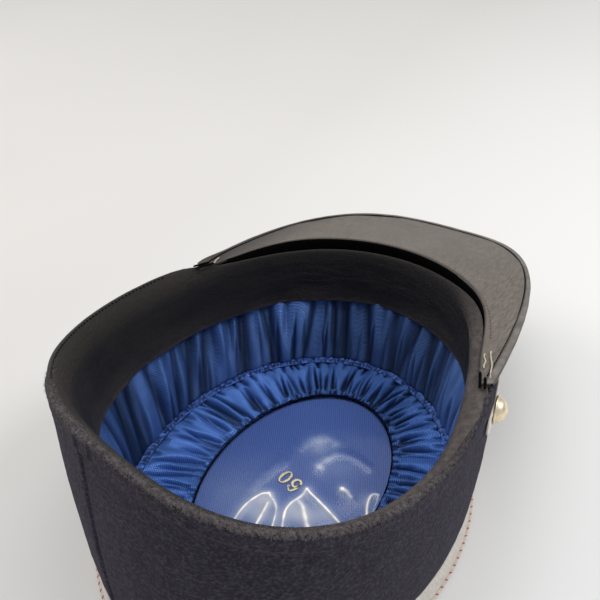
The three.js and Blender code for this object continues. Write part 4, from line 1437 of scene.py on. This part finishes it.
# Creases and hazy spots lie on the film by millimetres forward and across, with sizes in millimetres too.
# Their whiteness and glow are painted reflections.
FilmCrease = namedtuple("FilmCrease", "width height start_white end_white glow points")
FILM_CREASES = [
    FilmCrease(0.4, 0.9, 0.85, 0.85, 2.8, [
        (-34, 11), (-28, 12), (-22.5, 12.5), (-17.5, 12), (-13, 10.5), (-9.5, 9), (-8, 6)]),
    FilmCrease(0.35, 0.8, 0.7, 0.75, 1.8, [(-8, 6), (-9, 3), (-11.5, -1), (-15, -3.5), (-25, -7.5)]),
    FilmCrease(0.6, 0.7, 0.7, 0.6, 2.6, [(-29, 0.5), (-22, 1.5), (-12.5, 3.5)]),
    FilmCrease(0.5, 0.9, 0.85, 0.7, 2.8, [
        (-22.5, -12), (-16, -8.5), (-11.5, -6.5), (-7, -6.5), (-4, -8), (0, -9), (4, -9)]),
    FilmCrease(0.9, 0.8, 0.35, 0.7, 3.0, [(-4, -9), (-4.5, -12), (-8, -15.5), (-16, -23.5)]),
    FilmCrease(0.4, 1.0, 1.0, 0.8, 2.0, [(4, -9), (0, -22.5), (-4.5, -35)]),
    FilmCrease(2.6, 0.7, 0.08, 0.16, 3.8, [(25, 8), (31.5, 6.5), (36, 3), (37.5, -1), (36.5, -5)]),
    FilmCrease(1.9, 0.7, 0.5, -0.3, 3.6, [
        (19.5, -6.5), (24, -7), (29.5, -9), (33.5, -13), (34.5, -19.5), (33, -28)]),
    FilmCrease(1.0, 0.8, 1.0, 0.15, 2.4, [(14, -24), (13.5, -27), (11.5, -31)]),
    FilmCrease(0.4, 0.8, 0.6, 1.0, 1.4, [(20.5, -40.5), (19.5, -38), (16, -38), (11.5, -39.5), (7, -42)]),
    FilmCrease(0.35, 0.4, 0.4, 0.25, 1.0, [(20.5, -41), (15, -42.5), (10, -43.5)]),
    FilmCrease(2.6, 0.6, 0.12, 0.08, 4.5, [(-9, 14.5), (-1, 14), (6, 12.5), (11, 10)]),
]
FilmHaze = namedtuple("FilmHaze", "forward across size white")
FILM_HAZE = [
    FilmHaze(-20, 6, 6, 0.2), FilmHaze(-12, 5.5, 4, 0.22), FilmHaze(-19, -2, 5, 0.1),
    FilmHaze(-10, -12, 6, 0.24), FilmHaze(-7, -20, 7, 0.18), FilmHaze(-3, -27, 6, 0.1),
    FilmHaze(24, -14.5, 8, 0.07), FilmHaze(27, -23, 9, 0.03), FilmHaze(31, 1, 6, 0.15),
    FilmHaze(14, -37, 5, 0.12), FilmHaze(-16, 24, 18, 0.07),
]
DIGIT_HALF_HIGH = 4.2 * MM
DIGIT_HALF_WIDE = 2.8 * MM
DIGIT_THICK = 0.4 * MM
DIGIT_LOW = 3.7 * MM
DIGIT_TURN = -13 * DEGREE
DIGIT_SHARP = 40 * DEGREE
DIGIT_SEGMENTS = 40
ZERO_PLACE = (5.6 * MM, -6.0 * MM)
ZERO_HOLE = (1.5 * MM, 3.6 * MM)
SIX_PLACE = (-1.3 * MM, -4.4 * MM)
SIX_HOLE = (1.5 * MM, 1.85 * MM)
SIX_BOWL_HIGH = 2.9 * MM
SIX_STEM = Oval(-0.4 * MM, 4.75 * MM, 2.05 * MM)
SIX_STEM_ACROSS = -0.1 * MM
SIX_STEM_ANGLES = (200 * DEGREE, 35 * DEGREE)
SIX_STEM_HALVES = (0.6 * MM, 0.6 * MM, 0.35 * MM)
SIX_STEM_GRID = (22, 2)
SIX_STEM_UPRIGHT = 0.6
SIX_BALL = (1.75 * MM, 2.75 * MM, 0)
SIX_BALL_RADIUS = 0.75 * MM
SIX_BALL_SEGMENTS = 24


def disc_spot(oval, margin, u, v):
    """A place on a disc larger than the oval by the margin, and its share of the way out."""
    turn, share = u * FULL_TURN, 1 - v
    forward = oval.forward + (oval.long + margin) * share * np.cos(turn)
    return forward, (oval.wide + margin) * share * np.sin(turn), share


def build_tip():
    def surface(u, v):
        forward, across, _ = disc_spot(LINING_RING, TIP_MARGIN, u, v)
        return place(forward, across, TIP_UP)

    bm = bend_grid(*TIP_GRID, surface)
    roughen(bm, TIP_ROUGH)
    piece = finish_piece("tip_cloth", bm, TIP_CLOTH, ["lining_tip"])
    thicken(piece, TIP_THICK)


def rounded_line(points):
    """A crease's points with the corners cut off twice, so that it bends softly."""
    line = np.array(points) * MM
    for _ in range(2):
        near, far = 0.75 * line[:-1] + 0.25 * line[1:], 0.25 * line[:-1] + 0.75 * line[1:]
        line = np.concatenate([line[:1], np.stack([near, far], axis=1).reshape(-1, 2), line[-1:]])
    return line


def crease_distance(points, forward, across):
    """How far each place is from a crease, and the share along it of its nearest point."""
    nearest, nearest_share = np.full_like(forward, 1.0), np.zeros_like(forward)
    line = rounded_line(points)
    for leg, (start, run) in enumerate(zip(line[:-1], np.diff(line, axis=0))):
        share = ((forward - start[0]) * run[0] + (across - start[1]) * run[1]) / np.dot(run, run)
        share = np.clip(share, 0, 1)
        apart = np.hypot(forward - start[0] - share * run[0], across - start[1] - share * run[1])
        nearest_share = np.where(apart < nearest, (leg + share) / (len(line) - 1), nearest_share)
        nearest = np.minimum(nearest, apart)
    return nearest, nearest_share


def film_noise(forward, across, size, seed):
    return soft_noise(np.stack([forward, across, 0 * across], axis=-1), size, seed)


def build_window():
    def surface(u, v):
        forward, across, share = disc_spot(WINDOW_EDGE, WINDOW_UNDER, u, v)
        held = smooth_step(share, *WINDOW_HELD)
        up = FILM_WAVE.depth * film_noise(forward, across, FILM_WAVE.size, FILM_WAVE.seed)
        for crease in FILM_CREASES:
            apart, _ = crease_distance(crease.points, forward, across)
            up += crease.height * MM / (1 + (apart / MM / (FILM_CREASE_FOOT + crease.width)) ** 2)
        return place(forward, across, WINDOW_LOW + WINDOW_DOME * (1 - share ** 2) + held * up)

    # Painted reflections of the lamps: whitish glints along the creases and hazy spots.
    def white(u, v):
        forward, across, _ = disc_spot(WINDOW_EDGE, WINDOW_UNDER, u, v)
        clear = np.ones_like(forward)
        uneven = FILM_PATCH_DEPTH * film_noise(forward, across, FILM_PATCH_SIZE, seed=43)
        patchy = np.clip(FILM_PATCH_MEAN + uneven, FILM_PATCH_LEAST, 1)
        for crease in FILM_CREASES:
            apart, share = crease_distance(crease.points, forward, across)
            bright = np.maximum(0, between((crease.start_white, crease.end_white), share))
            core = hump(apart, crease.width * MM * (FILM_CORE_LEAST + FILM_CORE_PATCHY * patchy))
            glow = np.exp(-(apart / (crease.glow * MM)) ** FILM_GLOW_POWER)
            clear *= 1 - bright * (FILM_CORE_SHARE * core * patchy + FILM_GLOW_SHARE * glow)
        for haze in FILM_HAZE:
            apart = np.hypot(forward - haze.forward * MM, across - haze.across * MM)
            clear *= 1 - haze.white * hump(apart, haze.size * MM)
        return 1 - clear ** FILM_REFLECTION_POWER

    bm = bend_grid(*WINDOW_GRID, surface, {"white": white})
    finish_piece("window_film", bm, CLEAR_FILM, ["clear_window"])


def build_ruffle_edge_shade():
    """A thin black ring under the ruffle's inner edge, as painted shade for the dark gap between the
    ruffle and the film.
    """
    def surface(u, v):
        angle = v * FULL_TURN
        inset = WINDOW_EDGE_INSET + WINDOW_EDGE_RADIUS * np.cos(angle)
        up = WINDOW_EDGE_UP + WINDOW_EDGE_RADIUS * np.sin(angle)
        return oval_point(WINDOW_EDGE, u * FULL_TURN, inset, up)

    finish_piece("ruffle_edge_shade", bend_grid(*WINDOW_EDGE_GRID, surface), BLACK_STITCH_AND_SHADE)


def add_ring(bm, middle, outer, inner):
    """A flat oval ring between two ovals."""
    edges = []
    for wide, high in (outer, inner):
        loop = bmesh.ops.create_circle(bm, cap_ends=False, segments=DIGIT_SEGMENTS, radius=1)["verts"]
        bmesh.ops.scale(bm, vec=(wide, high, 1), verts=loop)
        bmesh.ops.translate(bm, vec=(*middle, 0), verts=loop)
        edges += {edge for vert in loop for edge in vert.link_edges}
    bmesh.ops.bridge_loops(bm, edges=edges)


def raise_digit(name, bm, spot, node):
    bmesh.ops.recalc_face_normals(bm, faces=bm.faces)
    top = bmesh.ops.extrude_face_region(bm, geom=bm.faces[:])["geom"]
    verts = [item for item in top if isinstance(item, bmesh.types.BMVert)]
    bmesh.ops.translate(bm, vec=(0, 0, DIGIT_THICK), verts=verts)
    bmesh.ops.recalc_face_normals(bm, faces=bm.faces)
    bmesh.ops.rotate(bm, cent=(0, 0, 0), matrix=Matrix.Rotation(DIGIT_TURN, 3, "Z"), verts=bm.verts)
    bmesh.ops.translate(bm, vec=(*spot, DIGIT_LOW), verts=bm.verts)
    finish_piece(name, bm, GILT, [node], DIGIT_SHARP)


def build_zero():
    bm = bmesh.new()
    add_ring(bm, (0, 0), (DIGIT_HALF_WIDE, DIGIT_HALF_HIGH), ZERO_HOLE)
    raise_digit("numeral_zero", bm, ZERO_PLACE, "size_digit_0")


def build_six():
    def stem(u, v):
        angle = between(SIX_STEM_ANGLES, u)
        half = np.interp(u, (0, 0.5, 1), SIX_STEM_HALVES) * (2 * v - 1)
        across = SIX_STEM_ACROSS + (SIX_STEM.wide + half) * np.cos(angle)
        high = SIX_STEM.forward + (SIX_STEM.long + SIX_STEM_UPRIGHT * half) * np.sin(angle)
        return np.stack([across, high, 0 * high], axis=-1)

    bm = bend_grid(*SIX_STEM_GRID, stem)
    bowl = (DIGIT_HALF_WIDE, SIX_BOWL_HIGH)
    add_ring(bm, (0, SIX_BOWL_HIGH - DIGIT_HALF_HIGH), bowl, SIX_HOLE)
    ball = Matrix.Translation(SIX_BALL)
    bmesh.ops.create_circle(
        bm, cap_ends=True, segments=SIX_BALL_SEGMENTS, radius=SIX_BALL_RADIUS, matrix=ball)
    raise_digit("numeral_six", bm, SIX_PLACE, "size_digit_6")


# Chin strap and buttons
STRAP_DROP = 13.5 * MM
STRAP_HALF = 5 * MM
STRAP_THICK = 1 * MM
STRAP_INSET = -0.45 * MM
STRAP_END = 78.5 * DEGREE
STRAP_TIP_LEAST = 0.02
STRAP_COLUMNS = 420
STRAP_ROWS = (10, 4)
PLAIT_HEIGHT = 0.14 * MM
PLAIT_COUNT = 95
PLAIT_SLANT = 0.7 * MM
BUTTON_TURN = 71 * DEGREE
BUTTON_DROP = 13 * MM
BUTTON_RADIUS = 6.6 * MM
BUTTON_RIM = 0.9 * MM
BUTTON_RIM_UP = 1 * MM
BUTTON_HEIGHT = 5.4 * MM
BUTTON_GAP = 0.1 * MM
BUTTON_RIM_ROUND = 0.3 * MM
BUTTON_RIM_EASE = 0.25 * MM
BUTTON_DOME_EASE = 0.1 * MM
BUTTON_DOME_ROWS = 14
BUTTON_STEPS = 56
BUTTON_MERGE = 1e-6
BUTTON_SHARP = 35 * DEGREE
BUTTON_SPREAD = (0.01, 1 * MM)


def build_strap():
    rows = capsule_rows(*STRAP_ROWS)
    round_by = STRAP_THICK / 2

    def surface(u, v):
        side = 2 * u - 1
        turn = side * STRAP_END
        along, face, past = row_values(rows, v).T
        from_end = (1 - np.abs(side)) * STRAP_END * RIM.wide
        rounding = 1 - np.clip(1 - from_end / STRAP_HALF, 0, 1) ** 2
        half = STRAP_HALF * np.sqrt(np.clip(rounding, STRAP_TIP_LEAST, 1))
        down = (half - round_by) * (2 * along - 1) + past * round_by
        plait = PLAIT_HEIGHT * np.cos(turn * PLAIT_COUNT + np.abs(down) / PLAIT_SLANT) * (face > 0)
        return wall_point(turn, STRAP_INSET - round_by * (1 + face) - plait, STRAP_DROP + down)

    bm = bend_grid(STRAP_COLUMNS, len(rows) - 1, surface)
    close_ends(bm)
    finish_piece("strap", bm, BRAID, ["chin_strap"])


def button_seat(side):
    """The place of a button's back on the strap, turned with its face outwards."""
    inset = STRAP_INSET - STRAP_THICK - BUTTON_GAP
    turn = side * BUTTON_TURN + np.array([0, BUTTON_SPREAD[0], 0])
    drop = BUTTON_DROP + np.array([0, 0, BUTTON_SPREAD[1]])
    seat, beside, below = [Vector(point) for point in wall_point(turn, inset, drop)]
    out = (below - seat).cross(beside - seat).normalized()
    if out.x * side < 0:
        out.negate()
    return Matrix.Translation(seat) @ out.to_track_quat("Z", "Y").to_matrix().to_4x4()


def build_button(name, side, node):
    """A domed button with a thin flat rim, its back against the strap."""
    bm = bmesh.new()
    dome_radius, dome = BUTTON_RADIUS - BUTTON_RIM, BUTTON_HEIGHT - BUTTON_RIM_UP
    profile = [
        (0, 0), (BUTTON_RADIUS - BUTTON_RIM_ROUND, 0),
        (BUTTON_RADIUS, BUTTON_RIM_ROUND), (BUTTON_RADIUS, BUTTON_RIM_UP - BUTTON_RIM_ROUND),
        (BUTTON_RADIUS - BUTTON_RIM_EASE, BUTTON_RIM_UP), (dome_radius + BUTTON_DOME_EASE, BUTTON_RIM_UP)]
    for step in range(BUTTON_DOME_ROWS + 1):
        angle = step / BUTTON_DOME_ROWS * math.pi / 2
        profile.append((dome_radius * math.cos(angle), BUTTON_RIM_UP + dome * math.sin(angle)))
    verts = [bm.verts.new((reach, 0, up)) for reach, up in profile]
    edges = [bm.edges.new(pair) for pair in zip(verts[:-1], verts[1:])]
    bmesh.ops.spin(bm, geom=verts + edges, axis=(0, 0, 1), cent=(0, 0, 0), steps=BUTTON_STEPS,
                   angle=FULL_TURN, use_merge=True)
    bmesh.ops.remove_doubles(bm, verts=bm.verts, dist=BUTTON_MERGE)
    bmesh.ops.recalc_face_normals(bm, faces=bm.faces)
    bmesh.ops.transform(bm, matrix=button_seat(side), verts=bm.verts)
    finish_piece(name, bm, BUTTON_METAL, [node], BUTTON_SHARP)


# Floor, light and camera
FLOOR_HALF = 3
FLOOR_GAP = 0.5 * MM
SKY_COLOUR = (0.97, 0.98, 1.0, 1)
SKY_STRENGTH = 0.55
Lamp = namedtuple("Lamp", "name spot target size power colour")
LAMPS = [
    Lamp("Overhead", (0.1, -0.2, 1.25), (0, 0, 0), 1.0, 4.8, (1.0, 0.985, 0.96)),
    Lamp("Window side", (1.05, 0.12, 0.95), (0, -0.03, 0), 0.85, 5.3, (1.0, 0.955, 0.9)),
    Lamp("Far side", (-0.75, -0.4, 1.1), (-0.05, 0, 0), 0.5, 6.2, (1.0, 0.985, 0.965)),
]
CAMERA_PLACE = Vector((-0.15887, 0.18914, 0.32774))
CAMERA_RIGHT = Vector((-0.8275, -0.5582, -0.0610))
CAMERA_UP = Vector((0.3144, -0.5504, 0.7734))
CAMERA_LENS = 46.8
CAMERA_SENSOR = 36
CAMERA_NEAREST = 0.01


def build_floor():
    bm = bmesh.new()
    bmesh.ops.create_grid(bm, x_segments=1, y_segments=1, size=FLOOR_HALF)
    mesh = bpy.data.meshes.new("Floor")
    bm.to_mesh(mesh)
    bm.free()
    mesh.materials.append(PALE_TABLE)
    floor = bpy.data.objects.new("floor", mesh)
    floor.location.z = -FLOOR_GAP
    bpy.context.scene.collection.objects.link(floor)


def add_lamp(lamp):
    light = bpy.data.lights.new(lamp.name, "AREA")
    light.shape = "DISK"
    light.size = lamp.size
    light.energy = lamp.power
    light.color = lamp.colour
    holder = bpy.data.objects.new(lamp.name, light)
    aim = (Vector(lamp.target) - Vector(lamp.spot)).to_track_quat("-Z", "Y").to_matrix().to_4x4()
    holder.matrix_world = Matrix.Translation(lamp.spot) @ aim
    bpy.context.scene.collection.objects.link(holder)


def add_sky():
    world = bpy.data.worlds.new("Studio")
    world.use_nodes = True
    sky = world.node_tree.nodes["Background"]
    sky.inputs["Color"].default_value = SKY_COLOUR
    sky.inputs["Strength"].default_value = SKY_STRENGTH
    bpy.context.scene.world = world


def add_camera():
    camera = bpy.data.cameras.new("Camera")
    camera.lens = CAMERA_LENS
    camera.sensor_width = CAMERA_SENSOR
    camera.clip_start = CAMERA_NEAREST
    holder = bpy.data.objects.new("Camera", camera)
    back = CAMERA_RIGHT.cross(CAMERA_UP).normalized()
    up = back.cross(CAMERA_RIGHT).normalized()
    axes = Matrix((CAMERA_RIGHT.normalized(), up, back)).transposed()
    holder.matrix_world = Matrix.Translation(CAMERA_PLACE) @ axes.to_4x4()
    bpy.context.scene.collection.objects.link(holder)
    bpy.context.scene.camera = holder


build_wall()
build_crown_disc()
build_braid()
build_piping()
build_visor()
build_binding()
build_shaded_lip()
build_visor_stitches()
for corner_line in CORNER_LINES:
    build_corner_line(corner_line)
build_band()
build_band_stitches()
build_tip()
build_side()
build_ruffle()
build_ring()
stitch_ring("ring_outer_stitches", -RING_SEAM)
stitch_ring("ring_inner_stitches", RING_SEAM)
build_window()
build_ruffle_edge_shade()
build_zero()
build_six()
build_strap()
build_button("left_button", -1, "button_left")
build_button("right_button", 1, "button_right")
build_floor()
for studio_lamp in LAMPS:
    add_lamp(studio_lamp)
add_sky()
add_camera()
bpy.context.scene.view_settings.view_transform = "Standard"
